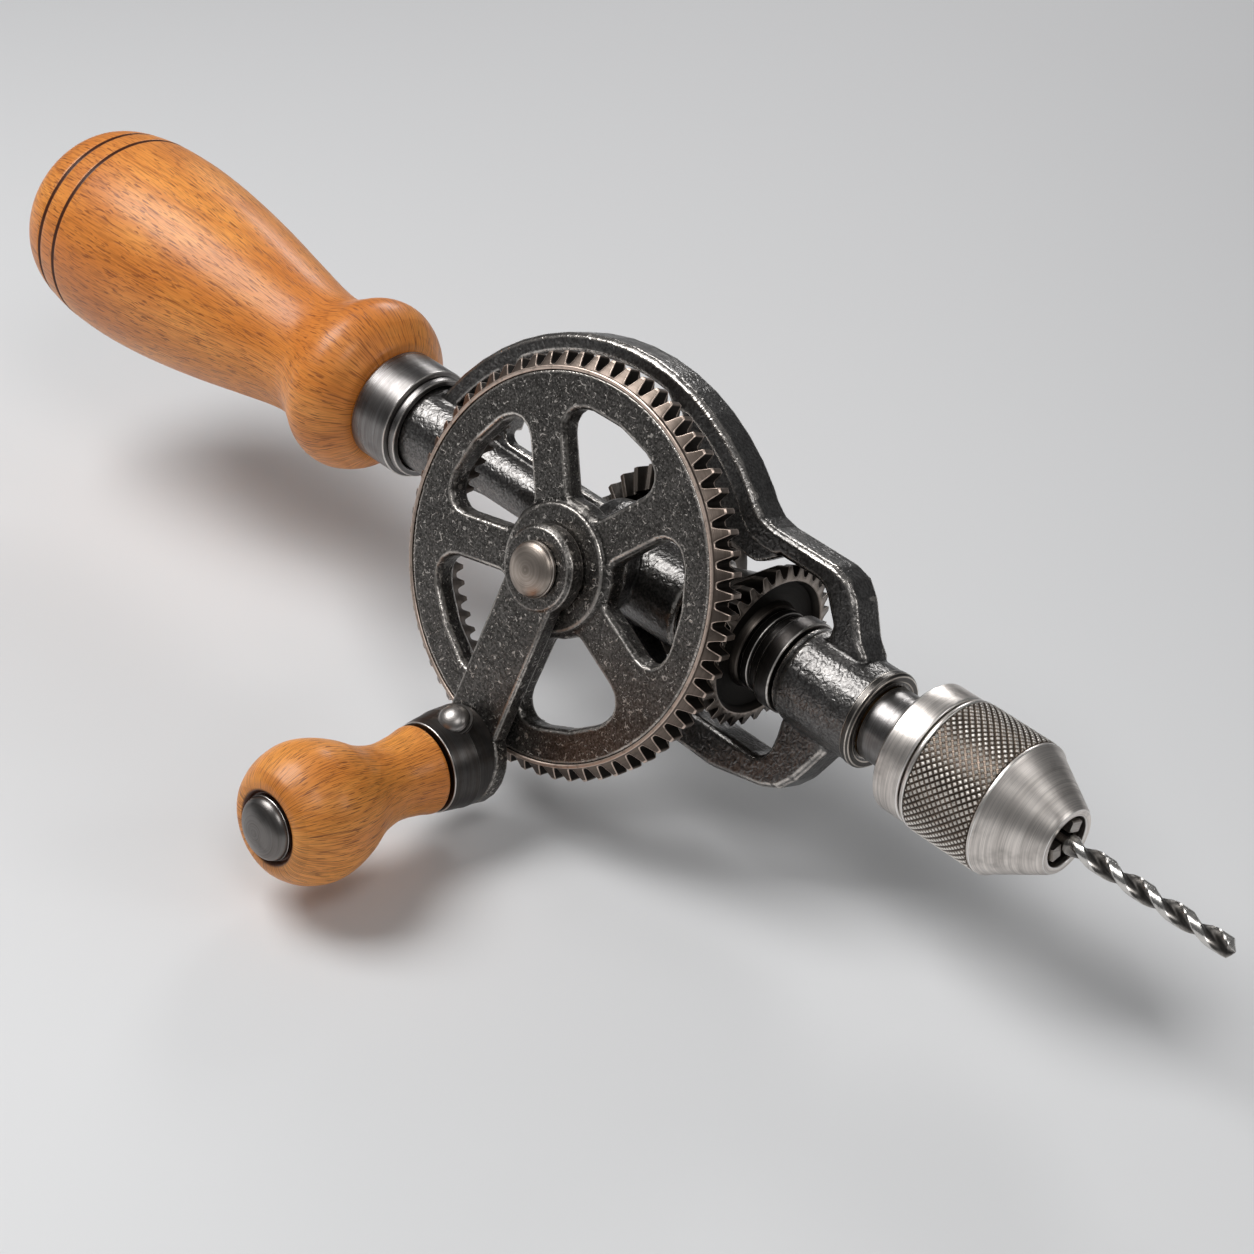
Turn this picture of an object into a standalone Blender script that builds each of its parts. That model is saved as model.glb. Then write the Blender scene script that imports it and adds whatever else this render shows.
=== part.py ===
# Hand drill with a bevel gear drive: a wooden handle, a cast frame, a cranked
# wheel, a spindle with its pinions and a three jaw chuck that holds a drill bit.
# Metres, +Z up. The spindle runs along +X towards the bit and the wheel turns
# about Y, with its crank on the -Y side. The two axes cross, and every gear is
# a cone whose point is at that crossing.

import math

import bmesh
import bpy
from mathutils import Matrix, Vector
from mathutils.geometry import tessellate_polygon

for old in list(bpy.data.objects):
    bpy.data.objects.remove(old)

# Clearances
FIT_GAP = 0.0003
OVERRUN = 0.002

# Facets round a turned piece, and the turn of each facet of a rounded corner
LARGE_FACETS = 32
GRIP_FACETS = 24
KNURL_FACETS = 48
SMALL_FACETS = 20
PIN_FACETS = 12
NUT_FACETS = 6
DOME_STEPS = 4
CORNER_TURN = math.radians(24)

# Gears
MODULE = 0.00111
WHEEL_TEETH = 65
PINION_TEETH = 30
ADDENDUM = 0.0011
DEDENDUM = 0.0014
COUNTER_MODULE = 0.00125
COUNTER_TEETH = 30
SMALL_PINION_TEETH = 12
TOOTH_ROOT_SHARE = 0.7
TOOTH_TIP_SHARE = 0.24

WHEEL_PITCH = MODULE * WHEEL_TEETH / 2
PINION_PITCH = MODULE * PINION_TEETH / 2
COUNTER_PITCH = COUNTER_MODULE * COUNTER_TEETH / 2
SMALL_PITCH = COUNTER_MODULE * SMALL_PINION_TEETH / 2

# Drive wheel
WHEEL_FRONT = 0.0244
RING_PAST_PITCH = 0.003125
RING_RADIUS = WHEEL_PITCH + RING_PAST_PITCH
LIP_WIDTH = 0.0011
LIP_RAISE = 0.0002
LIP_BEVEL = 0.0003
TOOTH_REACH = 0.0026
WHEEL_OUTER = RING_RADIUS + TOOTH_REACH
TOOTH_SETBACK = 0.0024
TOOTH_LAND = 0.0034
TOOTH_TAPER = 0.0005
TOOTH_ROOT_STEP = 0.0006
FACE_INSIDE_PITCH = 0.002575
TOOTH_INNER = WHEEL_PITCH - FACE_INSIDE_PITCH
CROWN_ROOT_SHARE = 0.84
WEB_THICKNESS = 0.005
RIM_WIDTH = 0.0077
RIM_BACK_STEP = 0.0006
HUB_RADIUS = 0.0125
HUB_RAISE = 0.001
HUB_BACK_RADIUS = 0.009
HUB_CLEAR = 0.014
SPOKE_COUNT = 5
SPOKE_WIDTH = 0.0092
SPOKE_ANGLE = math.radians(48)
WINDOW_CORNER = 0.0042
WINDOW_CHAMFER = 0.0009

# Axle
AXLE_RADIUS = 0.004
AXLE_HEAD_RADIUS = 0.0056
AXLE_HEAD_HEIGHT = 0.0021
AXLE_HEAD_RIM = 0.0011
BUSH_WALL = 0.0012
NUT_FLATS = 0.011
NUT_THICKNESS = 0.004
WASHER_RADIUS = 0.0068
WASHER_THICKNESS = 0.0012

# Crank
CRANK_BOSS_RADIUS = 0.0088
CRANK_BOSS_DEPTH = 0.0044
ARM_WIDTH = 0.0134
ARM_PLATE = 0.004
ARM_RECESS = 0.0003
ARM_BEVEL = 0.0005
CRANK_THROW = 0.043
CRANK_ANGLE = math.radians(-94.5)
GRIP_LEAN = math.radians(13.5)
DOWEL_RADIUS = 0.0012
DOWEL_PITCH = 0.0072
DOWEL_DEPTH = 0.0022

# Grip
SOCKET_RADIUS = 0.0101
SOCKET_MOUTH = 0.0093
SOCKET_LENGTH = 0.0088
SOCKET_SHOULDER = 0.0033
PIN_SINK = 0.0025
RIVET_HEAD = 0.0027
RIVET_HEIGHT = 0.0019
RIVET_SINK = 0.0006
RIVET_SHANK = 0.0014
RIVET_LEAN = math.radians(36)
GRIP_RADIUS = 0.0141
GRIP_LENGTH = 0.0385
GRIP_PIN_RADIUS = 0.0025
BUTTON_RADIUS = 0.006
BUTTON_HEIGHT = 0.0036
BUTTON_RIM = 0.0006
BUTTON_RECESS = 0.0008

# Frame casting
FRAME_HALF = 0.0042
WEB_HALF = 0.0016
ARCH_ROOM = 0.0098
ARCH_RADIUS = WHEEL_OUTER + ARCH_ROOM
ARCH_BACK = 0.011
ARCH_DROP = 0.0118
BAND_THICKNESS = 0.0042
UPPER_ARM_ROOM = 0.00625
UPPER_ARM_HEIGHT = PINION_PITCH + UPPER_ARM_ROOM
LOWER_ARM_ROOM = 0.00855
LOWER_ARM_HEIGHT = PINION_PITCH + LOWER_ARM_ROOM
LOWER_ARM_BAND = 0.0064
COLUMN_WIDTH = 0.0085
NECK_RADIUS = 0.0095
NECK_LENGTH = 0.0109
TUBE_RADIUS = 0.0058
CORE_RADIUS = 0.0105
WHEEL_BOSS_RADIUS = 0.009
BARREL_RADIUS = 0.010
BARREL_LENGTH = 0.0206
BARREL_LIP = 0.0006
EDGE_BEVEL = 0.0008
BARREL_RING = 0.0018
WEB_EDGE = 0.041
RIB_TOP = 0.007
ARCH_FILLET = 0.009
SHOULDER_BACK = 0.004

# Spindle line
SPINDLE_RADIUS = 0.004
JOURNAL_RADIUS = 0.0026
REAR_BUSH_RADIUS = 0.0042
FRONT_BUSH_RADIUS = 0.007
PINION_FACE = 0.0032
PINION_BACK = 0.0006
PINION_SLOPE = 0.0044
PINION_HUB_RADIUS = 0.0095
COLLAR_RADIUS = 0.0087
COLLAR_THICKNESS = 0.0046
RACE_RADIUS = 0.0098
RACE_THICKNESS = 0.0036
SPINDLE_COLLAR_RADIUS = 0.0077
SPINDLE_COLLAR_LENGTH = 0.0084
SMALL_FACE = 0.005
SMALL_BACK = 0.0007
POCKET_GAP = 0.0004
PIN_RADIUS = 0.0011

# Counter gear
COUNTER_FACE = 0.0046
COUNTER_BACK = 0.0118
COUNTER_HUB_RADIUS = 0.0062
COUNTER_RIM_CHAMFER = 0.0008

# Chuck
CHUCK_BAND_STEP = 0.0004
CHUCK_BAND_LENGTH = 0.0066
KNURL_LENGTH = 0.0178
NOSE_LENGTH = 0.0112
NOSE_RADIUS = 0.0072
MOUTH_RADIUS = 0.0053
MOUTH_LIP = 0.0012
SLEEVE_WALL = 0.0024
JAW_ANGLE = math.radians(13)
JAW_WIDTH = 0.003
JAW_LENGTH = 0.0216
JAW_DEPTH = 0.0034
JAW_GRIP_LENGTH = 0.008
JAW_TRAVEL = 0.0048
NUT_RING_WIDTH = 0.003
NUT_RING_DEPTH = 0.00186
THREAD_RADIUS = 0.005
THREAD_LENGTH = 0.0085

# Drill bit
BIT_RADIUS = 0.002
SHANK_LENGTH = 0.0195
FLUTE_LENGTH = 0.0372
BIT_LEAD = 0.0175
POINT_LENGTH = 0.0012
BIT_SIDES = 12

# Handle
NECK_SHOW = 0.001026
FERRULE_RADIUS = 0.0122
FERRULE_NOSE_RADIUS = 0.0113
FERRULE_LENGTH = 0.0122
FERRULE_GRIP = 0.0038
HANDLE_RADIUS = 0.0227
HANDLE_LENGTH = 0.111
SPIGOT_LENGTH = 0.0076
GROOVE_DEPTH = 0.0006
TANG_RADIUS = 0.004
TANG_DEPTH = 0.066

FULL_TURN = 2 * math.pi
X_AXIS = Vector((1, 0, 0))
Y_AXIS = Vector((0, 1, 0))
Z_AXIS = Vector((0, 0, 1))


def seat_at(start, axis, side):
    """A placement whose Z runs along the axis and whose X leans to the side."""
    along = Vector(axis).normalized()
    across = (side - along * along.dot(side)).normalized()
    third = along.cross(across)
    turn = Matrix((across, third, along)).transposed().to_4x4()
    return Matrix.Translation(start) @ turn


CENTRE = Vector((0, 0, 0))
ALONG_X = seat_at(CENTRE, X_AXIS, Z_AXIS)
ALONG_Z = seat_at(CENTRE, Z_AXIS, X_AXIS)
TOWARDS_CRANK = seat_at(CENTRE, -Y_AXIS, X_AXIS)
AWAY_FROM_CRANK = seat_at(CENTRE, Y_AXIS, Z_AXIS)


# Materials


def material(name, colour, roughness, metallic):
    made = bpy.data.materials.new(name)
    made.use_nodes = True
    shader = made.node_tree.nodes["Principled BSDF"]
    shader.inputs["Base Color"].default_value = (*colour, 1)
    shader.inputs["Roughness"].default_value = roughness
    shader.inputs["Metallic"].default_value = metallic
    made.diffuse_color = (*colour, 1)
    return made


BEECH = material("beech", (0.46, 0.2, 0.065), 0.4, 0)
CAST_IRON = material("cast_iron", (0.06, 0.055, 0.05), 0.45, 0.9)
BLUED_STEEL = material("blued_steel", (0.055, 0.05, 0.048), 0.3, 1)
BRUSHED_STEEL = material("brushed_steel", (0.42, 0.39, 0.36), 0.35, 1)
BRIGHT_STEEL = material("bright_steel", (0.5, 0.48, 0.46), 0.25, 1)
BRONZE = material("bronze", (0.42, 0.26, 0.12), 0.4, 1)


# Building tools


def finish(name, mesh_bm, look, parent, sharp=math.radians(35)):
    bmesh.ops.recalc_face_normals(mesh_bm, faces=mesh_bm.faces)
    mesh = bpy.data.meshes.new(name)
    mesh_bm.to_mesh(mesh)
    mesh_bm.free()
    mesh.materials.append(look)
    mesh.shade_smooth()
    mesh.set_sharp_from_angle(angle=sharp)
    made = bpy.data.objects.new(name, mesh)
    bpy.context.scene.collection.objects.link(made)
    made.parent = parent
    return made


def loft(name, rings, look, parent, closed=False):
    made = bmesh.new()
    rows = [[made.verts.new(point) for point in ring] for ring in rings]
    pairs = list(zip(rows, rows[1:]))
    if closed:
        pairs.append((rows[-1], rows[0]))
    for low, high in pairs:
        count = len(low)
        for i in range(count):
            j = (i + 1) % count
            made.faces.new((low[i], low[j], high[j], high[i]))
    if not closed:
        made.faces.new(rows[0])
        made.faces.new(rows[-1])
    return finish(name, made, look, parent)


def turned(name, profile, look, parent, place=ALONG_X, facets=LARGE_FACETS, closed=False):
    """Turn a profile of (along, radius) points. A closed profile makes a ring."""
    made = bmesh.new()
    rows = []
    for along, radius in profile:
        if radius == 0:
            rows.append([made.verts.new(place @ Vector((0, 0, along)))])
            continue
        row = []
        for i in range(facets):
            angle = FULL_TURN * (i + 0.5) / facets
            spot = Vector((radius * math.cos(angle), radius * math.sin(angle), along))
            row.append(made.verts.new(place @ spot))
        rows.append(row)
    pairs = list(zip(rows, rows[1:]))
    if closed:
        pairs.append((rows[-1], rows[0]))
    for low, high in pairs:
        for i in range(facets):
            j = (i + 1) % facets
            if len(low) == 1:
                made.faces.new((low[0], high[j], high[i]))
            elif len(high) == 1:
                made.faces.new((low[i], low[j], high[0]))
            else:
                made.faces.new((low[i], low[j], high[j], high[i]))
    for row in (rows[0], rows[-1]):
        if not closed and len(row) > 1:
            made.faces.new(row)
    return finish(name, made, look, parent)


def leftward(loop, distance):
    """Move every side of an outline of (x, z) points to its left."""
    moved = []
    count = len(loop)
    for i in range(count):
        here = Vector(loop[i])
        before = (here - Vector(loop[i - 1])).normalized()
        after = (Vector(loop[(i + 1) % count]) - here).normalized()
        bisector = Vector((-before.y - after.y, before.x + after.x)).normalized()
        reach = distance / bisector.dot(Vector((-after.y, after.x)))
        moved.append(tuple(here + bisector * reach))
    return moved


def facing(loop, sign):
    """Order an outline so that it runs anticlockwise for a positive sign."""
    area = sum(a[0] * b[1] - b[0] * a[1] for a, b in zip(loop, loop[1:] + loop[:1]))
    return loop if area * sign > 0 else loop[::-1]


def plate(name, outline, holes, low, high, look, parent, edge=0):
    """Extrude an outline of (x, z) points, with holes, along y. Its rims may be bevelled."""
    loops = [facing(outline, 1)]
    loops += [facing(hole, -1) for hole in holes]
    layers = [(low, 0), (high, 0)]
    if edge:
        layers = [(low, edge), (low + edge, 0), (high - edge, 0), (high, edge)]
    made = bmesh.new()
    levels = []
    for y, narrowing in layers:
        level = []
        for loop in loops:
            spots = leftward(loop, narrowing) if narrowing else loop
            level.append([made.verts.new((x, y, z)) for x, z in spots])
        levels.append(level)
    for level in (levels[0], levels[-1]):
        flat = [[Vector((v.co.x, v.co.z, 0)) for v in loop] for loop in level]
        corners = [v for loop in level for v in loop]
        for triangle in tessellate_polygon(flat):
            made.faces.new([corners[i] for i in triangle])
    for near, far in zip(levels, levels[1:]):
        for front, back in zip(near, far):
            count = len(front)
            for i in range(count):
                j = (i + 1) % count
                made.faces.new((front[i], front[j], back[j], back[i]))
    return finish(name, made, look, parent)


def cutter(made):
    made.hide_render = True
    made.display_type = "WIRE"
    return made


def boolean(target, tool, operation):
    step = target.modifiers.new(tool.name, "BOOLEAN")
    step.operation = operation
    step.object = cutter(tool)
    step.solver = "EXACT"
    return step


def cut(target, tool):
    return boolean(target, tool, "DIFFERENCE")


def join(target, tool):
    return boolean(target, tool, "UNION")


def arc(centre, radius, start, end, steps):
    spots = []
    for i in range(steps + 1):
        angle = start + (end - start) * i / steps
        spots.append((centre[0] + radius * math.cos(angle), centre[1] + radius * math.sin(angle)))
    return spots


def rounded(corners, facet_turn=CORNER_TURN):
    """Round each (x, z, radius) corner of a closed outline with an arc."""
    spots = []
    count = len(corners)
    for i, (x, z, radius) in enumerate(corners):
        here = Vector((x, z))
        before = (Vector(corners[i - 1][:2]) - here).normalized()
        after = (Vector(corners[(i + 1) % count][:2]) - here).normalized()
        half = before.angle(after) / 2
        steps = round((math.pi - 2 * half) / facet_turn)
        if radius == 0 or steps == 0:
            spots.append((x, z))
            continue
        middle = here + (before + after).normalized() * (radius / math.sin(half))
        reach = radius / math.tan(half)
        first = here + before * reach - middle
        last = here + after * reach - middle
        sweep = first.angle_signed(last)
        for j in range(steps + 1):
            turn = -sweep * j / steps
            spot = middle + Matrix.Rotation(turn, 2) @ first
            spots.append((spot.x, spot.y))
    return spots


def empty(name, place, parent=None):
    made = bpy.data.objects.new(name, None)
    bpy.context.scene.collection.objects.link(made)
    made.parent = parent
    made.matrix_local = place
    made.hide_render = True
    return made


# Places along the spindle, from the crossing of the two axes towards the bit

JOURNAL_START = AXLE_RADIUS + BUSH_WALL + FIT_GAP
SMALL_END = COUNTER_PITCH + SMALL_BACK
SMALL_START = COUNTER_PITCH - SMALL_FACE
CORE_END = SMALL_END + 3 * FIT_GAP
HUB_START = CORE_END + FIT_GAP
PINION_END = WHEEL_PITCH + PINION_BACK
PINION_START = WHEEL_PITCH - PINION_FACE
COLLAR_START = PINION_END + FIT_GAP
RACE_START = COLLAR_START + COLLAR_THICKNESS + FIT_GAP
BARREL_START = RACE_START + RACE_THICKNESS + FIT_GAP
BARREL_END = BARREL_START + BARREL_LENGTH
NECK_START = BARREL_END + FIT_GAP
CHUCK_START = NECK_START + SPINDLE_COLLAR_LENGTH + FIT_GAP
SLEEVE_START = CHUCK_START + CHUCK_BAND_LENGTH + FIT_GAP
CONE_START = SLEEVE_START + KNURL_LENGTH
CHUCK_END = CONE_START + NOSE_LENGTH
JAW_TIP = CHUCK_END + FIT_GAP
JAW_TAIL = JAW_TIP - JAW_LENGTH
BIT_START = JAW_TIP - SHANK_LENGTH
FLUTE_START = JAW_TIP + FIT_GAP
BIT_END = FLUTE_START + FLUTE_LENGTH

# Places along the wheel's axle, as distances from the spindle axis

WEB_BACK = WHEEL_FRONT - WEB_THICKNESS
HUB_FRONT = WHEEL_FRONT + HUB_RAISE
CRANK_BACK = HUB_FRONT + FIT_GAP
CRANK_FRONT = CRANK_BACK + CRANK_BOSS_DEPTH
ARM_FRONT = CRANK_FRONT - ARM_RECESS
ARM_BACK = ARM_FRONT - ARM_PLATE
HEAD_SEAT = CRANK_FRONT + FIT_GAP

# Cosines of the cone angles, which set how far the teeth stand off each pitch cone

DRIVE_COS = WHEEL_PITCH / math.hypot(WHEEL_PITCH, PINION_PITCH)
COUNTER_COS = COUNTER_PITCH / math.hypot(COUNTER_PITCH, SMALL_PITCH)

COUNTER_TIP = COUNTER_PITCH + ADDENDUM * SMALL_PITCH / COUNTER_PITCH


def wheel_depth(radius, height):
    """Distance from the spindle axis to the wheel's tooth cone at a radius."""
    return (PINION_PITCH - height * DRIVE_COS) * radius / WHEEL_PITCH


BOSS_FACE = wheel_depth(TOOTH_INNER, ADDENDUM)
HUB_BACK = BOSS_FACE + FIT_GAP

# The grip leans out from the crank arm along this line

THROW_DIRECTION = Vector((math.cos(CRANK_ANGLE), 0, math.sin(CRANK_ANGLE)))
GRIP_AXIS = THROW_DIRECTION * math.sin(GRIP_LEAN) - Y_AXIS * math.cos(GRIP_LEAN)
GRIP_FOOT = THROW_DIRECTION * CRANK_THROW - Y_AXIS * ARM_FRONT
SOCKET_END = SOCKET_LENGTH + FIT_GAP
GRIP_END = SOCKET_END + GRIP_LENGTH

# Shares of the grip's length and radius along its outline
GRIP_OUTLINE_SHARES = (
    (0, 0.56),
    (0.02, 0.63),
    (0.12, 0.585),
    (0.26, 0.56),
    (0.4, 0.66),
    (0.53, 0.845),
    (0.65, 0.965),
    (0.76, 1),
    (0.87, 0.93),
    (0.95, 0.8),
    (1, 0.66),
)

# Shares of the handle's length and radius, from its front face to the dome
HANDLE_OUTLINE_SHARES = (
    (0, 0.575),
    (0.012, 0.64),
    (0.04, 0.78),
    (0.075, 0.845),
    (0.11, 0.83),
    (0.145, 0.74),
    (0.18, 0.66),
    (0.215, 0.635),
    (0.27, 0.66),
    (0.36, 0.745),
    (0.48, 0.86),
    (0.6, 0.95),
    (0.7, 0.995),
    (0.78, 1),
)
DOME_OUTLINE_SHARES = (
    (0.9, 0.915),
    (0.94, 0.81),
    (0.97, 0.65),
    (0.99, 0.42),
    (1, 0.17),
)
GROOVE_SHARES = (0.812, 0.868)
GROOVE_WIDTH_SHARE = 0.006

ARCH_REACH = ARCH_BACK + math.sqrt(ARCH_RADIUS**2 - (NECK_RADIUS / 2 + ARCH_DROP) ** 2)
FERRULE_FRONT = ARCH_REACH + NECK_SHOW
NECK_END = FERRULE_FRONT + FERRULE_GRIP
HANDLE_FRONT = FERRULE_FRONT + FERRULE_LENGTH + FIT_GAP
HANDLE_END = HANDLE_FRONT + HANDLE_LENGTH


def grip_low():
    lowest = []
    for along, radius in GRIP_OUTLINE_SHARES:
        spot = GRIP_FOOT + GRIP_AXIS * (SOCKET_END + along * GRIP_LENGTH)
        tilt = math.sqrt(1 - GRIP_AXIS.z * GRIP_AXIS.z)
        lowest.append(spot.z - radius * GRIP_RADIUS * tilt)
    return min(lowest)


GRIP_TIP = GRIP_FOOT + GRIP_AXIS * (GRIP_END - BUTTON_RECESS + FIT_GAP + BUTTON_HEIGHT)
NUT_END = COUNTER_BACK + FIT_GAP + WASHER_THICKNESS + FIT_GAP + NUT_THICKNESS
PIN_END = NUT_END + FIT_GAP

# The row's origin is under the middle of the whole drill, level with its lowest point

HANDLE_SIDE = HANDLE_RADIUS * math.cos(math.pi / LARGE_FACETS)
ORIGIN = Vector(((HANDLE_END - BIT_END) / 2, (-GRIP_TIP.y - HANDLE_SIDE) / 2, -grip_low()))

DRILL = empty("drill_place", Matrix.Translation(ORIGIN))
CRANK_GROUP = empty("crank_axis", Matrix.Identity(4), DRILL)
SPINDLE_GROUP = empty("spindle_axis", Matrix.Identity(4), DRILL)
COUNTER_GROUP = empty("counter_axis", Matrix.Identity(4), DRILL)
SLEEVE_GROUP = empty("sleeve_axis", Matrix.Identity(4), SPINDLE_GROUP)
GRIP_GROUP = empty("grip_axis", seat_at(GRIP_FOOT, GRIP_AXIS, -THROW_DIRECTION), CRANK_GROUP)


# Frame casting: a flat plate with an arch over the wheel and an arm above and
# below the pinion, joined to the neck, the rear bearing and the front barrel

ARCH_MIDDLE = (-ARCH_BACK, -ARCH_DROP)
ARCH_INNER = ARCH_RADIUS - BAND_THICKNESS
COLUMN_INNER = BARREL_START + FIT_GAP
COLUMN_OUTER = COLUMN_INNER + COLUMN_WIDTH
UPPER_INNER = UPPER_ARM_HEIGHT - BAND_THICKNESS
LOWER_INNER = LOWER_ARM_HEIGHT - LOWER_ARM_BAND
NECK_BACK = FERRULE_FRONT - NECK_LENGTH
TANG_FRAME_END = NECK_BACK - TANG_RADIUS
PLATE_LOW = TUBE_RADIUS / 2
POCKET_FLOOR = PLATE_LOW / 2

# Shares of the column's outer side and of the arm heights, with corner radii as
# shares of the band, round the two ends of the column down to the barrel
UPPER_END_SHARES = ((0.936, 1, 1.9), (1.052, 0.555, 0), (1.1, 0.45, 0))
LOWER_END_SHARES = ((1.085, 0.42, 0), (1.045, 0.6, 0), (0.972, 0.91, 2.3))
UPPER_OPENING_SHARES = ((0.99, 1, 1), (1.1, 0.66, 0), (1.1, 0.48, 0))
LOWER_OPENING_SHARES = ((1.03, 0.48, 0), (1.035, 0.69, 0), (1.03, 1, 0.9))
STRUT_OUTER_SHARES = ((0.66, 1.045, 1.5), (0.42, 1.03, 1.5), (0.2, 0.78, 0))
STRUT_INNER_SHARES = ((0.5, 0.995, 1.5), (0.25, 0.83, 0), (0.1, 0.53, 0))
SHOULDER_SHARES = ((0.39, 0.83, 2), (0.6, 0.73, 1.2), (0.74, 1, 0))


def arch_turn(height, radius):
    """Angle at which the arch of this radius meets a height above the spindle."""
    return math.asin((height + ARCH_DROP) / radius)


def arch_back_turn(back, radius):
    """Angle at which the arch of this radius lies this far behind the axle."""
    return math.pi - math.acos((back - ARCH_BACK) / radius)


NECK_TURN = math.pi - arch_turn(NECK_RADIUS / 2, ARCH_RADIUS)
ARCH_STEPS = 18
outer_arc = arc(ARCH_MIDDLE, ARCH_RADIUS, NECK_TURN, arch_turn(UPPER_ARM_HEIGHT, ARCH_RADIUS), ARCH_STEPS)
frame_corners = [(x, z, 0) for x, z in outer_arc[:-1]]
frame_corners.append((*outer_arc[-1], ARCH_FILLET))
for x, z, radius in UPPER_END_SHARES:
    frame_corners.append((x * COLUMN_OUTER, z * UPPER_ARM_HEIGHT, radius * BAND_THICKNESS))
for x, z, radius in LOWER_END_SHARES + STRUT_OUTER_SHARES:
    frame_corners.append((x * COLUMN_OUTER, -z * LOWER_ARM_HEIGHT, radius * BAND_THICKNESS))
frame_corners += [
    (-WHEEL_BOSS_RADIUS / 2, -WHEEL_BOSS_RADIUS, 0),
    (-CORE_RADIUS - BAND_THICKNESS, -PLATE_LOW, 0),
    (outer_arc[0][0], -PLATE_LOW, 0),
]
inner_start = arch_back_turn(WEB_EDGE, ARCH_INNER)
shoulder_turn = arch_back_turn(SHOULDER_BACK, ARCH_INNER)
inner_arc = arc(ARCH_MIDDLE, ARCH_INNER, inner_start, shoulder_turn, ARCH_STEPS - 6)
opening_corners = [(*inner_arc[0], BAND_THICKNESS / 2)]
opening_corners += [(x, z, 0) for x, z in inner_arc[1:]]
for x, z, radius in SHOULDER_SHARES + UPPER_OPENING_SHARES:
    opening_corners.append((x * COLUMN_INNER, z * UPPER_INNER, radius * BAND_THICKNESS))
for x, z, radius in LOWER_OPENING_SHARES:
    opening_corners.append((x * COLUMN_INNER, -z * LOWER_INNER, radius * BAND_THICKNESS))
for x, z, radius in STRUT_INNER_SHARES:
    opening_corners.append((x * COLUMN_OUTER, -z * LOWER_INNER, radius * BAND_THICKNESS))
opening_corners += [
    (TUBE_RADIUS, 0, 0),
    (-CORE_RADIUS, RIB_TOP, 0),
    (-WEB_EDGE, RIB_TOP, BAND_THICKNESS / 2),
]
frame = plate(
    "frame",
    rounded(frame_corners),
    [rounded(opening_corners)],
    -FRAME_HALF,
    FRAME_HALF,
    CAST_IRON,
    DRILL,
    EDGE_BEVEL,
)

# Pockets on both faces leave a thin web between the arch, the neck and the rib,
# and another under the arch's shoulder
POCKET_EDGE = WEB_EDGE + BAND_THICKNESS
pocket_arc = arc(
    ARCH_MIDDLE,
    ARCH_INNER,
    arch_back_turn(POCKET_EDGE, ARCH_INNER),
    math.pi - arch_turn(NECK_RADIUS, ARCH_INNER),
    5,
)
pocket = [
    (-CORE_RADIUS, POCKET_FLOOR),
    (-CORE_RADIUS, RIB_TOP + OVERRUN),
    (-POCKET_EDGE + BAND_THICKNESS / 2, RIB_TOP + OVERRUN),
    (-POCKET_EDGE, RIB_TOP + OVERRUN + BAND_THICKNESS / 2),
    *pocket_arc,
    (pocket_arc[-1][0], POCKET_FLOOR),
]
SHOULDER_FOOT = UPPER_INNER - FIT_GAP
shoulder_arc = arc(ARCH_MIDDLE, ARCH_INNER, shoulder_turn, arch_turn(SHOULDER_FOOT, ARCH_INNER), 5)
shoulder_end = SHOULDER_SHARES[-1][0] * COLUMN_INNER + OVERRUN
shoulder = [(-SHOULDER_BACK - OVERRUN, shoulder_arc[0][1] - OVERRUN, 0)]
shoulder += [(x, z, 0) for x, z in shoulder_arc[1:-1]]
shoulder += [
    (*shoulder_arc[-1], ARCH_FILLET),
    (shoulder_end, SHOULDER_FOOT, 0),
]
for x, z, radius in SHOULDER_SHARES[::-1]:
    shoulder.append((x * COLUMN_INNER, z * UPPER_INNER - 2 * OVERRUN, 0))
for label, outline in (("web", pocket), ("shoulder", rounded(shoulder))):
    for side, low, high in (
        ("near", -FRAME_HALF - OVERRUN, -WEB_HALF),
        ("far", WEB_HALF, FRAME_HALF + OVERRUN),
    ):
        name = "%s_pocket_%s" % (label, side)
        cut(frame, plate(name, outline, [], low, high, CAST_IRON, DRILL))

core_profile = [
    (-NECK_END, NECK_RADIUS - EDGE_BEVEL),
    (-NECK_END + EDGE_BEVEL, NECK_RADIUS),
    (-NECK_BACK, NECK_RADIUS),
    (-NECK_BACK + NECK_RADIUS - TUBE_RADIUS, TUBE_RADIUS + EDGE_BEVEL),
    (-NECK_BACK + NECK_RADIUS, TUBE_RADIUS),
    (-CORE_RADIUS - BAND_THICKNESS, TUBE_RADIUS),
    (-CORE_RADIUS, TUBE_RADIUS + EDGE_BEVEL),
    (-WHEEL_BOSS_RADIUS, CORE_RADIUS - EDGE_BEVEL),
    (-TUBE_RADIUS, CORE_RADIUS),
    (CORE_END - EDGE_BEVEL, CORE_RADIUS),
    (CORE_END, CORE_RADIUS - EDGE_BEVEL),
]
join(frame, turned("frame_core", core_profile, CAST_IRON, DRILL))

boss_profile = [
    (0, WHEEL_BOSS_RADIUS),
    (BOSS_FACE - EDGE_BEVEL, WHEEL_BOSS_RADIUS),
    (BOSS_FACE, WHEEL_BOSS_RADIUS - EDGE_BEVEL),
]
join(frame, turned("frame_boss", boss_profile, CAST_IRON, DRILL, TOWARDS_CRANK))

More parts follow.
